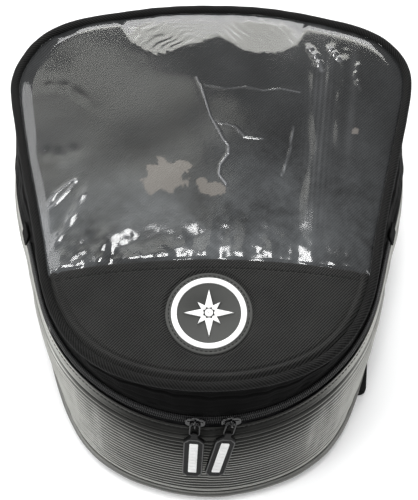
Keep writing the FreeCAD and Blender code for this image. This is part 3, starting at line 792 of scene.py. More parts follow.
def rounded_outline(corners, radius, steps=5):
    """Closed outline with its corners rounded by arcs."""
    corners = [np.array(corner, float) for corner in corners]
    points = []
    for index, corner in enumerate(corners):
        before = corners[index - 1] - corner
        after = corners[(index + 1) % len(corners)] - corner
        near = min(radius, np.linalg.norm(before) / 2.01, np.linalg.norm(after) / 2.01)
        start = corner + before / np.linalg.norm(before) * near
        end = corner + after / np.linalg.norm(after) * near
        for share in np.linspace(0, 1, steps):
            points.append(start * (1 - share) ** 2 + corner * 2 * share * (1 - share) + end * share ** 2)
    return np.array(points)


def rounded_box(x, y, radius, steps=5):
    """Outline of a rectangle from x[0] to x[1] and y[0] to y[1], with rounded corners."""
    return rounded_outline([(x[0], y[0]), (x[1], y[0]), (x[1], y[1]), (x[0], y[1])], radius, steps)


def plate(name, outline, low, high, to_row, material, edge=0.4):
    """Flat part with rounded edges: an outline between two heights, placed by to_row."""
    centre = outline.mean(0)
    reach = outline - centre
    inset = 1 - edge / np.linalg.norm(reach, axis=1)[:, None]
    bevel = 1 - (1 - inset) * 0.3
    full = np.ones_like(inset)
    loops = [(inset, high), (bevel, high - edge * 0.3), (full, high - edge),
             (full, low + edge), (bevel, low + edge * 0.3), (inset, low)]
    points = np.concatenate([to_row(lifted(centre + reach * scale, level)) for scale, level in loops])
    count = len(outline)
    faces = [face[:1] + face[:0:-1] for face in ring_faces(count, len(loops) - 1)]
    faces.append(list(range(count)))
    faces.append([(len(loops) - 1) * count + index for index in reversed(range(count))])
    made = mesh_object(name, points, faces, material)
    for index in (len(faces) - 1, len(faces) - 2):
        made.data.polygons[index].use_smooth = False
    return made


def joined(name, pieces):
    """One object made of several."""
    with bpy.context.temp_override(active_object=pieces[0], selected_editable_objects=pieces,
                                   object=pieces[0], selected_objects=pieces):
        bpy.ops.object.join()
    pieces[0].name = name
    pieces[0].data.name = name
    return pieces[0]


BLEND_START = metres(from_lid([0, 15, LID_HEIGHT]))
BLEND_END = metres(from_lid([0, -45, LID_HEIGHT]))


def face_outwards(mesh):
    """Turn the faces of each closed part of a mesh outwards."""
    shape = bmesh.new()
    shape.from_mesh(mesh)
    bmesh.ops.recalc_face_normals(shape, faces=shape.faces)
    shape.to_mesh(mesh)
    shape.free()


def finish_piece(piece, body=None, replaces=()):
    """Turn a piece's faces outwards, attach it to its body or bake its place into the mesh, and hide the
    CAD parts it replaces.
    """
    face_outwards(piece.data)
    if body:
        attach(piece, body)
    else:
        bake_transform(piece)
    if replaces:
        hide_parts(*replaces)


# ---------------------------------------------------------------- finishes

def make_finishes():
    """Every finish by its use. The numbers after the colour are pitch, roughness, slant, relief and
    contrast for woven ones, and roughness, grain and relief for moulded ones."""
    return {
        "wall": ribbed_vinyl("ribbed_vinyl", True),
        "base": grained_vinyl("base_vinyl", (0.028, 0.028, 0.03)),
        "piping_vinyl": ribbed_vinyl("binding_vinyl", False),
        "lining": woven("lining_cloth", (0.085, 0.085, 0.09), 0.9, 0.85, (1, 0.0), 0.1, 0.3),
        "gusset": woven("gusset_cloth", (0.0036, 0.0036, 0.0036), 1.3, 0.65, (1, 1), 0.15, 0.8,
                        shine=0.025),
        "twill": woven("twill_cloth", (0.0205, 0.0205, 0.0198), 1.7, 0.72, (1, -1), 0.3, 1.0,
                       Sheen_Weight=0.03, Sheen_Roughness=0.5),
        "backing": woven("backing_cloth", (0.034, 0.0335, 0.033), 1.95, 0.8, (1, -1), 0.2, 0.85),
        "film": clear_film(),
        "piping": woven("piping_cloth", (0.0095, 0.0095, 0.0093), 2.0, 0.7, (1, 1), 0.3, 0.95,
                        Sheen_Weight=0.03, Sheen_Roughness=0.5),
        "thread": woven("thread", (0.010, 0.010, 0.010), 0.5, 0.6, (1, 1), 0.05, 0.4, "object"),
        "coil": moulded("zip_coil", (0.008, 0.008, 0.0085), 0.36, 0.8, 0.02, Specular_IOR_Level=0.35),
        "tape": woven("zip_tape", (0.007, 0.007, 0.007), 1.4, 0.8, (1, 0.35), 0.2, 0.4),
        "metal": enamel("black_enamel", (0.003, 0.003, 0.0032), 0.1),
        "tab": moulded("tab_rubber", (0.0035, 0.0035, 0.0036), 0.3, 2.0, 0.04, Specular_IOR_Level=0.15),
        "tab_edge": moulded("tab_edge_rubber", (0.05, 0.05, 0.05), 0.35, 2.0, 0.04),
        "badge": moulded("badge_rubber", (0.06, 0.061, 0.058), 0.7, 2.2, 0.08, Specular_IOR_Level=0.2),
        "white": moulded("white_rubber", (0.88, 0.88, 0.86), 0.45, 2.0, 0.03),
        "wing": woven("wing_cloth", (0.016, 0.016, 0.016), 1.4, 0.75, (1, 1), 0.2, 0.5),
        "grip": moulded("grip_rubber", (0.035, 0.035, 0.036), 0.7, 1.5, 0.1),
        "board": moulded("board_plastic", (0.05, 0.05, 0.05), 0.55, 0.8, 0.05),
        "hook": fuzzy_tape("hook_tape", (0.03, 0.03, 0.03), True),
        "loop": fuzzy_tape("loop_tape", (0.045, 0.045, 0.045), False),
    }


# ---------------------------------------------------------------- walls and base

WALL_TOP = chain_offset(-SEWN_EDGE, 0.6)
GUSSET_FOOT = chain_offset(SEWN_EDGE, 0.6)
WALL_FOOT = 14.2
WALL_BULGE = 2.5


def wall_surface(shares, columns, depth):
    """Grid of points down the wall, at a depth inside the vinyl's outer face."""
    radius_change, height = WALL_TOP
    top = closed_curve(chain_half(radius_change), columns, -depth)
    foot = closed_curve(BASE_HALF, columns, -depth)
    top = from_lid(lifted(top, height))
    foot = lifted(foot, WALL_FOOT)
    swell = unit(top[:, :2] + foot[:, :2]) * WALL_BULGE
    middle = (top + foot) / 2 + lifted(swell, 0.0)
    share = np.asarray(shares)[:, None, None]
    return (top * (1 - share) * (1 - 2 * share) + middle * 4 * share * (1 - share)
            + foot * share * (2 * share - 1))


def make_walls(finishes):
    columns, rows = 520, 176
    rib_pitch = 4.4
    shares = np.linspace(0, 1, rows)
    surface = wall_surface(shares, columns, 0.0)
    coarse = wall_surface(np.linspace(0, 1, 15), 130, 0.0)
    pinned = np.zeros(coarse.shape[:2], bool)
    pinned[[0, 1, -1]] = True
    change = settled(coarse, pinned, slack=0.012, gravity=0.25, cap=2.5)
    slackness = 0.3
    surface = surface + slackness * spread_out(change, rows, columns)
    normal = normals_of(surface)

    height = np.linalg.norm(np.diff(surface, axis=0), axis=-1).mean(axis=1)
    down = np.concatenate([[0], np.cumsum(height)])[:, None]
    total = down[-1, 0]
    around = round_run(WALL_RUN, columns)
    count = round((total - 12) / rib_pitch)
    phase = (down - 8) / (total - 12) * count
    ribbed = smooth(6.5, 9.5, down) * smooth(total - 3, total - 7, down)
    front = smooth(0.1, 0.8, -normal[..., 1])
    ribs = (0.4 + 0.3 * front) * np.cos(math.tau * phase) * ribbed
    puff = (1.2 + 2.0 * front) * smooth(0, 16, down) * smooth(72, 20, down)
    fold = 0.75 * bell(down, 1.3, 1.1) - 0.45 * bell(down, 3.6, 0.9)
    tuck = -1.4 * smooth(total - 3.5, total, down)
    sag = 0.5 * ripples(around, down, 90, 11) * smooth(3, 25, down) * smooth(total, total - 20, down)
    seam = seam_relief(surface)
    surface = surface + normal * (ribs * (1 - seam[1]) + puff + fold + tuck + sag + seam[0])[..., None]
    wall = shell("wall_cover", surface, 1.2, finishes["wall"])
    groove = (0.5 - 0.5 * np.cos(math.tau * phase)) * ribbed * (0.55 + 0.45 * front)
    add_attribute(wall, "groove", groove.ravel())
    # Painted shade: a gloss mask, strongest in a band under the zipper at the front where the zipper and
    # sliders shade the wall, and about a fifth over the sides.
    reach = 32 * bell(surface[..., 0], 0, 105) + 0.1
    painted_shade_and_dulling = np.exp(-(np.maximum(down - 4, 0) / reach) ** 2) * front * np.exp(-(surface[..., 0] / 120) ** 4)
    painted_shade_and_dulling = np.maximum(painted_shade_and_dulling, 0.22 * (1 - front))
    add_attribute(wall, "painted_shade_and_dulling", painted_shade_and_dulling.ravel())
    finish_piece(wall, "bag",
                 ("wall_skin", "rear_wall_skin", "wall_foam", "rear_wall_foam"))

    row = int(np.argmin(abs(down[:, 0] - 4.4)))
    line = looped(surface[row])
    out = looped(normal[row])
    sew("wall_top_stitches", line, out, finishes, (2.8, 1.2, 0.5), "bag")
    for side, sign in SIDES:
        pick = np.argmin(np.abs(surface[..., 1] - REAR_SEAM_Y + 3.4)
                         + 1e4 * (surface[..., 0] * sign < 0), axis=1)
        rows_used = np.arange(8, rows - 6)
        line = surface[rows_used, pick[rows_used]]
        out = normal[rows_used, pick[rows_used]]
        sew(f"{side}_wall_seam_stitches", line, out, finishes, (2.8, 1.2, 0.5), "bag")

    make_inner_lining(finishes)
    make_base(finishes)


REAR_SEAM_Y = 128.0


def seam_relief(surface):
    """Relief of the lapped side seams, and where it takes the place of the ribs."""
    away = surface[..., 1] - REAR_SEAM_Y
    side = np.abs(surface[..., 0]) > 100
    relief = (0.9 * smooth(-7.0, -6.0, away) * smooth(0.6, 0.0, away) - 0.5 * bell(away, 1.2, 0.8))
    flat = smooth(-8.0, -6.5, away) * smooth(2.0, 0.5, away)
    return relief * side, flat * side


def make_inner_lining(finishes):
    columns, rows = 260, 40
    surface = wall_surface(np.linspace(0.03, 0.985, rows), columns, 7.0)
    normal = normals_of(surface)
    around = round_run(LINING_RUN, columns)
    down = np.linspace(0, 90, rows)[:, None]
    sag = 0.8 * ripples(around, down, 38, 5) * smooth(0, 15, down) * smooth(90, 75, down)
    surface = surface - normal * (0.6 + sag)[..., None]
    lining = shell("inner_lining", surface, 0.7, finishes["lining"])
    finish_piece(lining, "bag", ("wall_lining", "rear_wall_lining"))

    _, high = node_box("base_lining")
    inset, rings = 7.6, 29
    outline = closed_curve(BASE_HALF, 260, -inset)
    flat = fan(outline, np.zeros(2), rings)
    far = np.repeat(1 - np.linspace(1, 0, rings + 1)[:-1], len(outline)).tolist() + [1.0]
    rise = 0.5 * ripples(flat[:, 0], flat[:, 1], 60, 8) * smooth(0, 0.15, far) + high[2] - 0.2
    rise = rise + 2.0 * smooth(0.06, 0.0, far)
    floor = fan_object("floor_lining", flat, len(outline), lifted(flat, rise), lifted(flat, rise - 0.7),
                       finishes["lining"])
    finish_piece(floor, "bag", ("base_lining",))


def make_base(finishes):
    low, high = node_box("base_piping")
    radius = (high[2] - low[2]) / 2
    level = (high[2] + low[2]) / 2
    columns = 560
    line = closed_curve(BASE_HALF, columns)
    sides = 16
    angle = (np.arange(sides) * math.tau / sides)[:, None]
    around = round_run(WALL_RUN, columns)
    round_it = np.full((sides, columns), radius - 0.05) + 0.12 * ripples(around, angle * 3, 30, 3)
    from_lap = (around + WALL_RUN / 2) % WALL_RUN - (WALL_RUN / 2 + 8)
    lap = np.exp(-(np.abs(from_lap) / 9.0) ** 6)
    round_it = round_it + 0.35 * lap * (np.cos(angle - 1.2) > -0.3)
    cord = tube("base_binding", lifted(line, level), round_it, Z_AXIS, finishes["piping_vinyl"],
                sides=sides)
    finish_piece(cord, "bag", ("base_piping",))

    low, high = node_box("base_panel")
    outline = closed_curve(BASE_HALF, 280, -3.3)
    loops = []
    for share in np.linspace(0, 1, 26)[:-1]:
        dip = 0.35 * bell(share, 0.09, 0.012)
        loops.append(lifted(outline * (1 - share), low[2] + 0.15 + dip))
    for share in (0.9, 0.5, 0.0):
        loops.append(lifted(outline * (1 - share), high[2]))
    cover = grid_object("base_cover", np.array(loops), finishes["base"])
    finish_piece(cover, "bag", ("base_panel",))

    low, high = node_box("base_grip_sheet")
    outline = rounded_outline([(-42, -150), (42, -150), (52, 150), (-52, 150)], 10)

    grip = [plate("grip_mat", outline, low[2] + 0.4, high[2], np.asarray, finishes["grip"], 0.3)]
    for index in range(24):
        y = -141 + index * 12.2
        half = 39 + (y + 150) / 300 * 10 - 3
        bar = rounded_box((-half, half), (y, y + 5.5), 2.2)
        grip.append(plate(f"grip_bar_{index}", bar, low[2], low[2] + 0.7, np.asarray, finishes["grip"],
                          0.3))
    finish_piece(joined("grip_mat", grip), "bag", ("base_grip_sheet",))


# ---------------------------------------------------------------- bands between lid and zipper

def band_surface(rows, columns, inside=0.0):
    """Grid of points down the cloth band under the lid's piping."""
    upper = closed_curve(LID_HALF, columns, -inside)
    front = closed_curve(chain_half(GUSSET_FOOT[0]), columns, -inside)
    rear = closed_curve(chain_half(WALL_TOP[0]), columns, -inside)
    share = smooth(5, 15, front[:, 1])
    foot = front * (1 - share)[:, None] + rear * share[:, None]
    level = GUSSET_FOOT[1] * (1 - share) + (WALL_TOP[1] + 0.5) * share
    upper = from_lid(lifted(upper, LID_HEIGHT - PIPING_RADIUS - 0.3))
    foot = from_lid(lifted(foot, level))
    down = np.linspace(0, 1, rows)[:, None, None]
    return upper * (1 - down) + foot * down


def make_band(finishes):
    columns, rows = 520, 40
    coarse = band_surface(13, 130)
    pinned = np.zeros(coarse.shape[:2], bool)
    pinned[[0, -1]] = True
    change = settled(coarse, pinned, slack=0.04, gravity=0.4, cap=3.0)
    slackness = 0.35
    surface = band_surface(rows, columns) + slackness * spread_out(change, rows, columns)
    normal = normals_of(surface)
    down = np.linspace(0, 1, rows)[:, None]
    local = (surface - LID_ORIGIN) @ LID_AXES.T
    v = local[..., 1]
    around = round_run(BAND_RUN, columns)
    wander = 0.04 * ripples(around, 0 * down, 160, 21)
    crease = 0.4 * bell(down - wander, 0.42, 0.06) - 0.7 * bell(down - wander, 0.34, 0.04)
    crease = crease - 0.3 * bell(down + wander, 0.72, 0.04)
    corner = -0.7 * bell(v, 176, 1.2)
    seam = 0.5 * bell(down, 0.1, 0.04)
    soft = 0.6 * ripples(around, down * 30, 60, 4)
    relief = (crease + corner + seam + soft) * smooth(0, 0.06, down) * smooth(1, 0.95, down)
    surface = surface + normal * relief[..., None]
    band = shell("lid_band", surface, 1.1, finishes["gusset"])
    finish_piece(band, None,
                 ("front_gusset", "left_gusset", "right_gusset", "rear_gusset"))
    row = 5
    line = looped(surface[row])
    out = looped(normal[row])
    sew("lid_band_stitches", line, out, finishes, (2.6, 1.2, 0.45))


# ---------------------------------------------------------------- zipper

def make_tapes(finishes):
    half = CHAIN_HALF_LENGTH
    along = np.linspace(-half, half, 420)
    for name, body, node, sign in (("lower_tape", "bag", "lower_zip_tape", -1),
                                   ("upper_tape", None, "upper_zip_tape", 1)):
        across = np.array([0.9, 1.4, 2.6, 4.4, 5.0, 5.6, 6.4, 7.6, 8.6, 9.1])
        front = np.array([-1.0, -0.75, -0.75, -0.75, -0.35, -0.35, -0.75, -0.75, -0.75, -1.1])
        back = np.full(len(across), -1.65)
        up = np.concatenate([across, across[::-1]]) * sign
        out = np.concatenate([front, back])
        if sign > 0:
            up, out = up[::-1], out[::-1]
        points = on_chain(along[None, :], up[:, None], out[:, None])
        tape = grid_object(name, points, finishes["tape"], wrap_columns=False)
        finish_piece(tape, body, (node,))
        line = on_chain(along, 5.3 * sign, -0.32)
        lift = on_chain(along, 5.3 * sign, 1.0) - line
        sew(f"{name}_stitches", line, lift, finishes, (2.2, 0.9, 0.5), body)


def make_coils(finishes):
    """Two rows of moulded coil: each tooth is a loop of round wire across the slot."""
    pitch = 1.6
    half = CHAIN_HALF_LENGTH - 1.0
    section = [(4.15, 0.0), (4.0, 1.0), (3.1, 1.55), (1.6, 1.6), (0.35, 1.5), (-0.35, 0.95), (-0.25, 0.3),
               (0.6, -0.1), (2.2, -0.2)]
    wire = 0.46
    sides = 6
    angle = np.arange(sides) * math.tau / sides
    for name, body, node, sign in (("lower_teeth", "bag", "lower_coil", -1),
                                   ("upper_teeth", None, "upper_coil", 1)):
        shift = 0.0 if sign < 0 else pitch / 2
        centres = np.arange(-half + shift, half, pitch)
        path = np.array(section)
        tangent = unit(np.gradient(path, axis=0))
        normal = np.stack([-tangent[:, 1], tangent[:, 0]], 1)
        lean = np.linspace(-0.28, 0.28, len(path))
        up = path[:, 0, None] + normal[:, 0, None] * np.cos(angle) * wire
        out = path[:, 1, None] + normal[:, 1, None] * np.cos(angle) * wire
        slide = np.sin(angle)[None, :] * wire + lean[:, None]
        points = on_chain(centres[:, None, None] + slide, up[None] * sign, out[None])
        one = ring_faces(sides, len(path) - 1)
        block = len(path) * sides
        ends = [tuple(range(sides)), tuple(block - 1 - corner for corner in range(sides))]
        faces = [[tooth * block + corner for corner in face] for tooth in range(len(centres))
                 for face in one + ends]
        teeth = mesh_object(name, points, faces, finishes["coil"])
        cord_line = on_chain(np.linspace(-half, half, 300), 2.3 * sign, 0.65)
        cord = tube(f"{name}_cord", cord_line, 0.55, W_AXIS, finishes["tape"], closed=False, sides=8)
        finish_piece(teeth, body, (node,))
        finish_piece(cord, body)


def make_zip_ends(finishes):
    """Cloth patches folded over the ends of the zipper, with a box of stitches."""
    for side, sign in SIDES:
        middle = sign * (CHAIN_HALF_LENGTH + 8.0)

        def place(points, middle=middle):
            return on_chain(middle + points[..., 0], points[..., 1], points[..., 2])

        outline = rounded_box((-7, 7), (-9, 9), 1.5)
        patch = plate(f"{side}_zip_patch", outline, 1.6, 2.8, place, finishes["gusset"], 0.5)
        finish_piece(patch, "bag", (f"{side}_zip_end",))
        box = rounded_box((-5.2, 5.2), (-7.2, 7.2), 0.6)
        box = resampled(looped(box), 60)
        line = place(lifted(box, 2.85))
        lift = place(lifted(box, 3.85)) - line
        sew(f"{side}_zip_patch_stitches", line, lift, finishes, (2.0, 0.8, 0.4), "bag")


# ---------------------------------------------------------------- lid

LID_SAMPLES = 720


def lid_outline(inset):
    points = closed_curve(LID_HALF, LID_SAMPLES, -inset)
    return points


def seam_v(x):
    """Line of the seam between cloth panel and window: an arc through its ends and its middle."""
    end_x, end_v = SEAM_END
    rise = SEAM_MIDDLE_V - end_v
    radius = (end_x ** 2 + rise ** 2) / (2 * rise)
    return SEAM_MIDDLE_V - radius + np.sqrt(radius ** 2 - np.asarray(x, float) ** 2)


def region(front, shift, inset):
    """Boundary of the lid's part in front of the seam, or behind it."""
    outline = lid_outline(inset)
    inside = outline[:, 1] < seam_v(outline[:, 0]) + shift
    keep = outline[inside if front else ~inside]
    start = np.argmax(np.linalg.norm(keep - np.roll(keep, 1, 0), axis=1))
    keep = np.roll(keep, -start, 0)
    x = np.linspace(keep[-1, 0], keep[0, 0], 160)[1:-1]
    return np.concatenate([keep, np.stack([x, seam_v(x) + shift], 1)])


def rim_distance(flat):
    far, _ = distance_to(flat, lid_outline(0.0)[::3], True)
    return far


def lid_crown(rim):
    """Soft rise of the padded lid between its edges."""
    return 2.2 * (1 - np.exp(-rim / 28.0)) - 2.6 * np.exp(-(rim - 3.0) / 2.6)


def make_lid_panel(finishes):
    boundary = region(True, 0.6, 3.2)

    def surface(flat):
        rim = rim_distance(flat)
        behind = seam_v(flat[:, 0]) + 0.6 - flat[:, 1]
        fold = 0.9 * smooth(0.0, 1.4, behind) - 0.55 * bell(behind, 7.6, 0.9)
        pucker = 0.22 * ripples(flat[:, 0] * 1.0, flat[:, 1] * 0.25, 9, 31) * bell(behind, 5, 7.0)
        soft = 0.35 * ripples(flat[:, 0], flat[:, 1], 55, 9)
        middle = np.linalg.norm(flat - BADGE, axis=1)
        seat = -1.9 * smooth(37.5, 34.0, middle)
        ridge = 1.5 * bell(rim, 7.4, 1.7) - 1.4 * bell(rim, 10.8, 1.0)
        ridge = ridge - 1.2 * bell(rim, 4.4, 0.9)
        soft = soft * smooth(3, 14, rim) * smooth(34, 48, middle)
        return PANEL_HEIGHT + lid_crown(rim) + fold + pucker + soft + seat + ridge

    panel, flat = lid_sheet("lid_panel", boundary, np.array([0.0, -80.0]), 90, surface, 1.2,
                            finishes["twill"])
    finish_piece(panel, None, ("lid_front_panel",))

    x = np.linspace(-128, 128, 400)
    line = np.stack([x, seam_v(x) - 7.0], 1)
    line = line[rim_distance(line) > 6.5]
    top = from_lid(lifted(line, surface(line) + 0.1))
    sew("lid_seam_stitches", top, W_AXIS, finishes, (3.0, 1.5, 0.6))


def film_edge(x):
    """Where the window's film bends down to the wide end's piping, as v for each x."""
    lobes = 180.0 + 8.5 * np.cos((x - 4) / 14.0) - 0.00045 * x * x + 2.0 * np.sin(x / 6.3)
    return lobes + 26 * smooth(72, 90, np.abs(x - 4))


# Lines of points on the film, each with its height, its width and how white it is.
CREASES = [
    ([(-11, 146), (-5, 130), (1, 107), (7, 95), (12, 84), (16, 79), (16, 71), (9, 60), (8, 51), (14, 42)],
     0.42, 0.8, 1.0),
    ([(-3, 138), (14, 134), (31, 136), (46, 132), (61, 134), (78, 130)], 0.2, 0.7, 0.35),
    ([(3, 103), (22, 97), (30, 87), (45, 85)], 0.2, 0.8, 0.4),
    ([(71, 97), (68, 76), (64, 61), (60, 50)], 0.3, 0.7, 0.7),
    ([(92, 170), (90, 120), (90, 76), (81, 28), (77, -12)], 0.7, 4.5, 0.0),
    ([(108, 178), (100, 120), (95, 76), (87, 28), (82, -17)], 0.7, 3.4, 0.04),
    ([(119, 172), (110, 120), (107, 60)], 0.6, 4.0, 0.0),
    ([(-146, 138), (-129, 139), (-116, 133), (-98, 115)], -0.4, 4.4, 0.0),
    ([(-140, 72), (-122, 70), (-104, 78)], -0.35, 6.0, 0.0),
    ([(87, 178), (93, 166), (97, 152)], 1.3, 2.6, 0.35),
    ([(104, 177), (110, 168), (113, 162)], 1.1, 2.0, 0.35),
    ([(128, 160), (124, 146), (127, 132)], 0.7, 1.6, 0.1),
    ([(-101, 40), (-107, 24), (-114, 6), (-122, -8), (-128, -16)], 0.5, 3.4, 0.24),
    ([(-131, 22), (-126, 34), (-114, 45), (-109, 46), (-116, 36), (-126, 24), (-130, 20)], 0.5, 1.0, 1.0),
]
# Middle and half size of each stain under the film.
STAINS = [((-36, 50), (18, 14)), ((-46, 40), (8, 6)), ((-22, 60), (8, 5)), ((3, 38), (11, 6)),
          ((-6, 44), (5, 4)), ((122, 92), (3, 3))]


def make_window(finishes):
    boundary = region(False, -1.5, 3.4)
    outline = lid_outline(3.4)

    def backing_surface(flat):
        rim = rim_distance(flat)
        soft = 0.25 * ripples(flat[:, 0], flat[:, 1], 70, 14)
        return BACKING_HEIGHT + lid_crown(rim) * 0.7 + soft * smooth(3, 14, rim)

    backing, _ = lid_sheet("window_backing", region(False, -6.0, 3.6), np.array([0.0, 90.0]), 40,
                           backing_surface, 1.0, finishes["backing"])
    finish_piece(backing, None,
                 ("lid_backing_front", "lid_backing_rear", "lid_foam_front", "lid_foam_rear"))

    def surface(flat):
        x, v = flat[:, 0], flat[:, 1]
        rim = rim_distance(flat)
        seam = v - seam_v(x)
        edge, _ = distance_to(flat, outline[outline[:, 1] > 150][::3])
        bend = film_edge(x)
        past = v - bend
        room = np.maximum(edge + np.maximum(past, 0), 6.0)
        ease = np.sqrt(past ** 2 + 4.0)
        fall = np.clip(0.5 * (past + ease) / room, 0, 1.0)
        puff = 3.4 * (1 - fall) * smooth(60, 150, v) + 1.0 * (1 - smooth(60, 150, v))
        side = smooth(2, 16, rim)
        lift = puff * (0.25 + 0.75 * side)
        calm = side * (1 - 0.75 * smooth(-4, 4, past))
        lift = lift + 0.07 * ripples(x, v, 42, 41) * calm + 0.008 * ripples(x, v, 13, 42) * calm
        near = bell(np.maximum(seam, 0), 0, 26.0)
        crumple = 0.85 * ripples(x, v * 0.7, 23, 43) + 0.2 * ripples(x, v * 0.8, 9, 44)
        crumple = crumple * (0.75 + 0.25 * ripples(x, 0 * v, 90, 46))
        lift = lift * smooth(0, 5, seam) + (0.6 + crumple) * near * side * smooth(0, 3, seam)
        swirl = np.hypot(x + 14, (v - 176) * 1.4) / 1.3 + 2.5 * ripples(x, v, 26, 45)
        lift = lift + 0.07 * np.sin(swirl) * smooth(-3, 3, past) * smooth(3, 9, rim)
        for points, height, width, _ in CREASES:
            far, share = distance_to(flat, points)
            wobble = 1 + 0.4 * np.sin(share * 19)
            ends = smooth(0, 0.12, share) * smooth(1, 0.85, share)
            lift = lift + height * wobble * bell(far, 0, width) * (0.3 + 0.7 * ends)
        return backing_surface(flat) + 0.7 + np.maximum(lift, 0.0)

    film, flat = lid_sheet("window_film", boundary, np.array([0.0, 90.0]), 120, surface, 0.5,
                           finishes["film"])
    x, v = flat[:, 0], flat[:, 1]
    white = np.zeros(len(flat))
    for points, _, width, whiteness in CREASES:
        far, share = distance_to(flat, points)
        white = np.maximum(white, whiteness * bell(far, 0, 0.7 * width) * (0.5 + 0.5 * share))
    stain = np.zeros(len(flat))
    for (centre_x, centre_v), (half_x, half_v) in STAINS:
        ragged = 1 + 0.2 * ripples(x, v, 12, 51) + 0.06 * ripples(x, v, 4, 52)
        away = np.hypot((x - centre_x) / half_x, (v - centre_v) / half_v) * ragged
        stain = np.maximum(stain, smooth(1.06, 0.94, away))
    # Painted highlight: light streaks along the slanted ridges at the right stand in for their reflections
    # and go into the crease attribute with the whitened creases.
    slanted = x - 0.11 * v
    painted_streak = bell(slanted, 82, 10) * (0.6 + 0.4 * np.sin(slanted * 1.5)) + 0.6 * np.exp(
        -((slanted - 107) / 3) ** 2) * smooth(40, 90, v)
    white = np.maximum(white, 0.1 * painted_streak * (1 + 0.3 * ripples(x, v, 30, 53)) * smooth(-10, 10, v))
    add_attribute(film, "crease", np.clip(white, 0, 1))
    add_attribute(film, "stain", stain * 0.75)
    mist = smooth(110, -10, v + 12 * ripples(x, v, 60, 61)) * (1 - 0.45 * smooth(30, 100, x))
    add_attribute(film, "mist", mist)
    finish_piece(film, None, ("window_front", "window_rear"))


def make_lid_underside(finishes):
    boundary = lid_outline(4.4)

    def surface(flat):
        rim = rim_distance(flat)
        soft = 0.5 * ripples(flat[:, 0], flat[:, 1], 45, 71) * smooth(4, 20, rim)
        return LID_LINING_HEIGHT - 0.9 * smooth(6, 40, rim) + soft * 0.5 + 1.2 * np.exp(-(rim - 3) / 3)

    lining, _ = lid_sheet("lid_lining", boundary, np.array([0.0, 50.0]), 60, surface, 0.8,
                          finishes["lining"])
    finish_piece(lining, None, ("lid_lining_front", "lid_lining_rear"))
    for kind, level in (("loop", 33.0), ("hook", 31.6)):
        outline = rounded_box((-90, 90), (150, 170), 3)
        strip = plate(f"pocket_{kind}_tape", outline, level - 0.6, level + 0.55, from_lid,
                      finishes[kind], 0.3)
        finish_piece(strip, "bag", (f"map_pocket_{kind}_strip",))



def make_lid_piping(finishes):
    columns = 620
    line = closed_curve(LID_HALF, columns)
    sides = 18
    angle = (np.arange(sides) * math.tau / sides)[:, None]
    around = round_run(PIPING_RUN, columns)
    reach = np.full((sides, columns), PIPING_RADIUS) + 0.1 * ripples(around, angle * 4, 24, 81)
    reach = reach - 0.5 * bell(angle, 2.1, 0.2) + 0.1 * np.cos(math.tau * around / 4.2) * (
        bell(angle, 2.1, 0.35))
    cord = tube("lid_binding", from_lid(lifted(line, LID_HEIGHT)), reach, W_AXIS, finishes["piping"],
                sides=sides)
    finish_piece(cord, None, ("lid_piping_front", "lid_piping_rear"))


BADGE_LOW, BADGE_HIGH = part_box("badge_disc")
BADGE_MIDDLE = (in_mm((BADGE_LOW + BADGE_HIGH) / 2) - LID_ORIGIN) @ LID_AXES.T
BADGE = BADGE_MIDDLE[:2]


def turned(name, profile, material, count=120):
    """Round part of the badge: a closed profile of radius and height, turned about its middle."""
    angle = np.arange(count) * math.tau / count
    ring = np.stack([np.cos(angle), np.sin(angle)], -1)
    points = [lifted(BADGE + ring * radius, height) for radius, height in profile]
    return grid_object(name, from_lid(np.array(points)), material)


def make_badge(finishes):
    low = BADGE_MIDDLE[2] - 0.8
    rim = [(0.4, low + 1.1), (23.9, low + 1.1), (24.4, low + 1.5), (24.8, low + 1.6), (29.6, low + 1.6),
           (30.1, low + 1.3), (31.0, low + 0.95), (31.8, low + 0.95), (32.5, low + 1.45), (33.2, low + 1.5),
           (33.8, low + 1.1), (34.0, low + 0.5), (34.0, low), (30.0, low - 0.4), (0.4, low - 0.4)]
    disc = turned("badge_disc_cover", rim[::-1], finishes["badge"])
    finish_piece(disc, "lid", ("badge_disc",))
    top = low + 2.4
    ring = [(24.9, low + 1.5), (25.0, top - 0.15), (25.4, top), (29.0, top), (29.4, top - 0.15),
            (29.5, low + 1.5)]
    white_ring = turned("badge_ring_cover", ring[::-1], finishes["white"])
    finish_piece(white_ring, "lid", ("badge_ring",))

    pieces = []
    for index in range(8):
        angle = math.pi * index / 4
        reach = 19.5 if index % 2 == 0 else 12.5
        half = 3.3 if index % 2 == 0 else 2.4
        root = 5.2
        tip = np.array([math.sin(angle), math.cos(angle)])
        across = np.array([tip[1], -tip[0]])
        outline = [tip * root * 0.75, tip * root + across * half, tip * reach, tip * root - across * half]
        flat = np.array([BADGE + point for point in outline])
        points = np.concatenate([lifted(flat, low + 1.0), lifted(flat, top - 0.55),
                                 lifted([BADGE + tip * root, BADGE + tip * reach * 0.97], top + 0.05)])
        faces = [(3, 2, 1, 0), (0, 1, 5, 4), (1, 2, 6, 5), (2, 3, 7, 6), (3, 0, 4, 7), (4, 5, 8),
                 (5, 6, 9, 8), (6, 7, 8, 9), (7, 4, 8)]
        pieces.append(mesh_object(f"ray_{index}", from_lid(points), faces, finishes["white"],
                                  sharp=True))
    hub = [(0.3, low + 1.0), (3.2, low + 1.0), (3.2, top - 0.1), (2.9, top), (1.7, top),
           (1.4, top - 0.5), (0.3, top - 0.5)]
    pieces.append(turned("hub", hub, finishes["white"], 40))
    rose = joined("badge_rose_cover", pieces)
    finish_piece(rose, "lid", ("badge_rose",))

    angle = np.linspace(0, math.tau, 200)
    ring = BADGE + 31.4 * np.stack([np.cos(angle), np.sin(angle)], -1)
    line = from_lid(lifted(ring, low + 1.0))
    sew("badge_stitches", line, W_AXIS, finishes, (2.4, 1.2, 0.55), "lid")


# ---------------------------------------------------------------- sliders and pulls

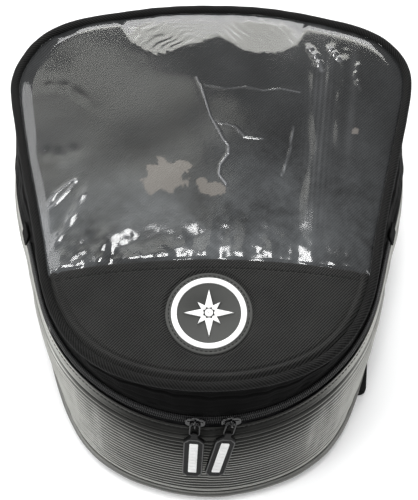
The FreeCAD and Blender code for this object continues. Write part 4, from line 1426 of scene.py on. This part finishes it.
def placed_by(origin, axes):
    """Function that places a part's own points, given its origin and its axes in the row frame."""
    return lambda points: origin + np.asarray(points, float) @ axes


def joint_place(name):
    """Origin and axis of a joint, in the row frame."""
    joint = JOINTS[name]
    return in_mm(joint["pos_m"]), np.array(joint["axis"], float)


def slider_axes(side):
    """Slider's origin on the chain and its axes: along the chain, up the face, out of it."""
    pivot, _ = joint_place(f"{side}_link_swing")
    x, v, _ = (pivot - LID_ORIGIN) @ LID_AXES.T
    angle = math.atan2(x, -v)
    along = np.array([math.cos(angle), math.sin(angle), 0.0])
    outward = np.array([math.sin(angle), -math.cos(angle), 0.0])
    up = -outward * math.sin(ZIP_LEAN) + np.array([0, 0, math.cos(ZIP_LEAN)])
    out = outward * math.cos(ZIP_LEAN) + np.array([0, 0, math.sin(ZIP_LEAN)])
    axes = np.array([along, up, out]) @ LID_AXES
    return from_lid(outward * ZIP_RADIUS), axes


def make_slider(side, finishes):
    origin, axes = slider_axes(side)
    metal = finishes["metal"]

    place = placed_by(origin, axes)
    wide = rounded_outline([(-8, -3.0), (-4.2, -5.5), (4.2, -5.5), (8, -3.0), (8, 3.0), (4.2, 5.5),
                            (-4.2, 5.5), (-8, 3.0)], 1.6, 4)
    pieces = [plate("body", wide, 2.5, 3.9, place, metal, 0.55),
              plate("floor", wide, -4.0, -2.7, place, metal, 0.4),
              plate("post", rounded_box((-2.5, 2.5), (-0.5, 0.5), 0.3, 3),
                    -2.8, 2.6, place, metal, 0.1)]
    ridge = rounded_box((-6.5, 6.5), (-1.9, 1.9), 1.2, 4)
    pieces.append(plate("spine", ridge, 3.8, 4.3, place, metal, 0.35))
    arch = np.linspace(0, math.pi, 15)
    line = np.stack([0 * arch, -3.7 * np.cos(arch), 4.0 + 3.7 * np.sin(arch) ** 0.8], 1)
    pieces.append(tube("bail", place(line), 0.72, axes[0], metal, closed=False, sides=10))
    slider = joined(f"{side}_slider_casting", pieces)
    finish_piece(slider, f"{side}_slider", (f"{side}_slider",))


def make_pull(side, finishes):
    """Wire ring through the bail and the moulded rubber tab on it, in the tab's hanging frame."""
    pivot, axis = joint_place(f"{side}_link_swing")
    eye, _ = joint_place(f"{side}_tab_swing")
    down = (eye - pivot) / np.linalg.norm(eye - pivot)
    across = -axis
    front = np.cross(across, -down)
    place = placed_by(eye, np.array([across, -down, front]))
    length = float(np.linalg.norm(eye - pivot))
    half = 3.8
    loop = rounded_box((-half, half), (0, length), 2.4, 7)
    link = tube(f"{side}_ring", place(lifted(loop, 0.0)), 0.75, front, finishes["metal"], sides=10)
    finish_piece(link, f"{side}_link", (f"{side}_pull_link",))

    outline = rounded_outline([(-2.6, 2.4), (-2.6, -1.8), (-8.2, -7.0), (-8.2, -45.6), (-4.2, -49.6),
                               (4.2, -49.6), (8.2, -45.6), (8.2, -7.0), (2.6, -1.8), (2.6, 2.4)], 1.0, 4)
    pieces = [plate("slab", outline, -2.0, 1.5, place, finishes["tab"], 0.5)]
    border = rounded_outline([(-3.6, -5.0), (-7.6, -8.4), (-7.6, -45.3), (-4.0, -48.9), (4.0, -48.9),
                              (7.6, -45.3), (7.6, -8.4), (3.6, -5.0)], 1.0, 4)
    pieces.append(tube("border", place(lifted(border, 1.5)), 0.5, front, finishes["tab_edge"], sides=8))
    tab = joined(f"{side}_tab_rubber", pieces)
    finish_piece(tab, f"{side}_tab", (f"{side}_pull_tab",))

    panel = rounded_box((-3.4, 3.4), (-43.6, -9.2), 0.8, 4)
    pieces = [plate("panel", panel, 1.3, 2.35, place, finishes["white"], 0.3)]
    for index in range(9):
        high = -10.3 - index * 3.7
        rib = rounded_box((-2.6, 2.6), (high - 2.2, high), 0.7, 4)
        pieces.append(plate(f"rib_{index}", rib, 2.2, 2.75, place, finishes["white"], 0.35))
    inlay = joined(f"{side}_tab_inlay", pieces)
    finish_piece(inlay, f"{side}_tab", (f"{side}_tab_print",))


# ---------------------------------------------------------------- magnetic wings

def make_wing(side, sign, finishes):
    """Padded flap with three magnets sewn in."""
    hinge, axis = joint_place(f"{side}_wing_fold")
    start = hinge[:2]
    fold = -sign * axis[:2]
    inward = -sign * np.array([fold[1], -fold[0]])
    strip, reach, length, corner = 24.0, 86.0, 170.0, 18.0
    outline = rounded_outline([(0.4, 0.4), (reach - corner, 0.4), (reach - 0.4, corner),
                               (reach - 0.4, length - corner), (reach - corner, length - 0.4),
                               (0.4, length - 0.4)], 9.0, 8)
    outline = resampled(looped(outline), 241)[:-1]
    if sign > 0:
        outline = outline[::-1]
    centre = np.array([45.0, 85.0])
    flat = fan(outline, centre, 45)
    rim, _ = distance_to(flat, outline, True)
    discs = np.min([np.hypot(flat[:, 0] - (strip + reach) / 2, flat[:, 1] - length / 3 * (index + 0.5))
                    for index in range(3)], axis=0)
    depth = flat[:, 0]
    thick = 4.9 * smooth(strip - 1, strip + 6, depth) + 1.5 * smooth(strip + 6, strip - 1, depth)
    groove = 1.0 * bell(rim, 4.5, 0.9)
    quilt = 1.1 * bell(discs, 20.5, 1.6)
    swell = 0.5 * smooth(18.5, 16, discs)
    thick = np.minimum(thick, 1.0 + 3.9 * smooth(0, 3.5, rim)) - groove - quilt + 0.12 * ripples(
        flat[:, 0], flat[:, 1], 14, 91)
    top = 5.0 - 0.45 * (groove + quilt) - 0.3 * smooth(2.5, 0, rim) - 0.15
    bottom = np.maximum(5.0 - np.minimum(thick + swell, 4.9), 0.08)

    def across(points):
        return start + points[..., :1] * inward + points[..., 1:2] * fold

    row = across(flat)
    wing = fan_object(f"{side}_wing_pad", flat, len(outline), lifted(row, top), lifted(row, bottom),
                      finishes["wing"])
    finish_piece(wing, f"{side}_wing", (f"{side}_wing", f"{side}_wing_magnets"))

    inner = centre + (outline - centre) * (1 - 4.5 / np.linalg.norm(outline - centre, axis=1)[:, None])
    inner = looped(inner)
    path = across(inner)
    sew(f"{side}_wing_stitches", lifted(path, 4.45), Z_AXIS, finishes, (3.0, 1.4, 0.5),
        f"{side}_wing")

    outline = rounded_box((1, 12), (4, length - 4), 2.0)

    def place(points):
        return np.concatenate([across(points), points[..., 2:]], -1)

    low, high = node_box(f"{side}_wing_anchor")
    if sign < 0:
        outline = outline[::-1]
    anchor = plate(f"{side}_wing_strap", outline[::-1], low[2], high[2], place, finishes["wing"], 0.5)
    finish_piece(anchor, "bag", (f"{side}_wing_anchor",))


# ---------------------------------------------------------------- build

def dress_base_board(finishes):
    """Finish of the base board, a CAD node that stays in sight."""
    data = NODES["base_board"].data
    data.materials.clear()
    data.materials.append(finishes["board"])


add_camera()
add_studio()
FINISHES = make_finishes()
make_walls(FINISHES)
make_band(FINISHES)
make_tapes(FINISHES)
make_coils(FINISHES)
make_zip_ends(FINISHES)
make_lid_panel(FINISHES)
make_window(FINISHES)
make_lid_underside(FINISHES)
make_lid_piping(FINISHES)
make_badge(FINISHES)
for pull_side, pull_sign in SIDES:
    make_slider(pull_side, FINISHES)
    make_pull(pull_side, FINISHES)
    make_wing(pull_side, pull_sign, FINISHES)
dress_base_board(FINISHES)
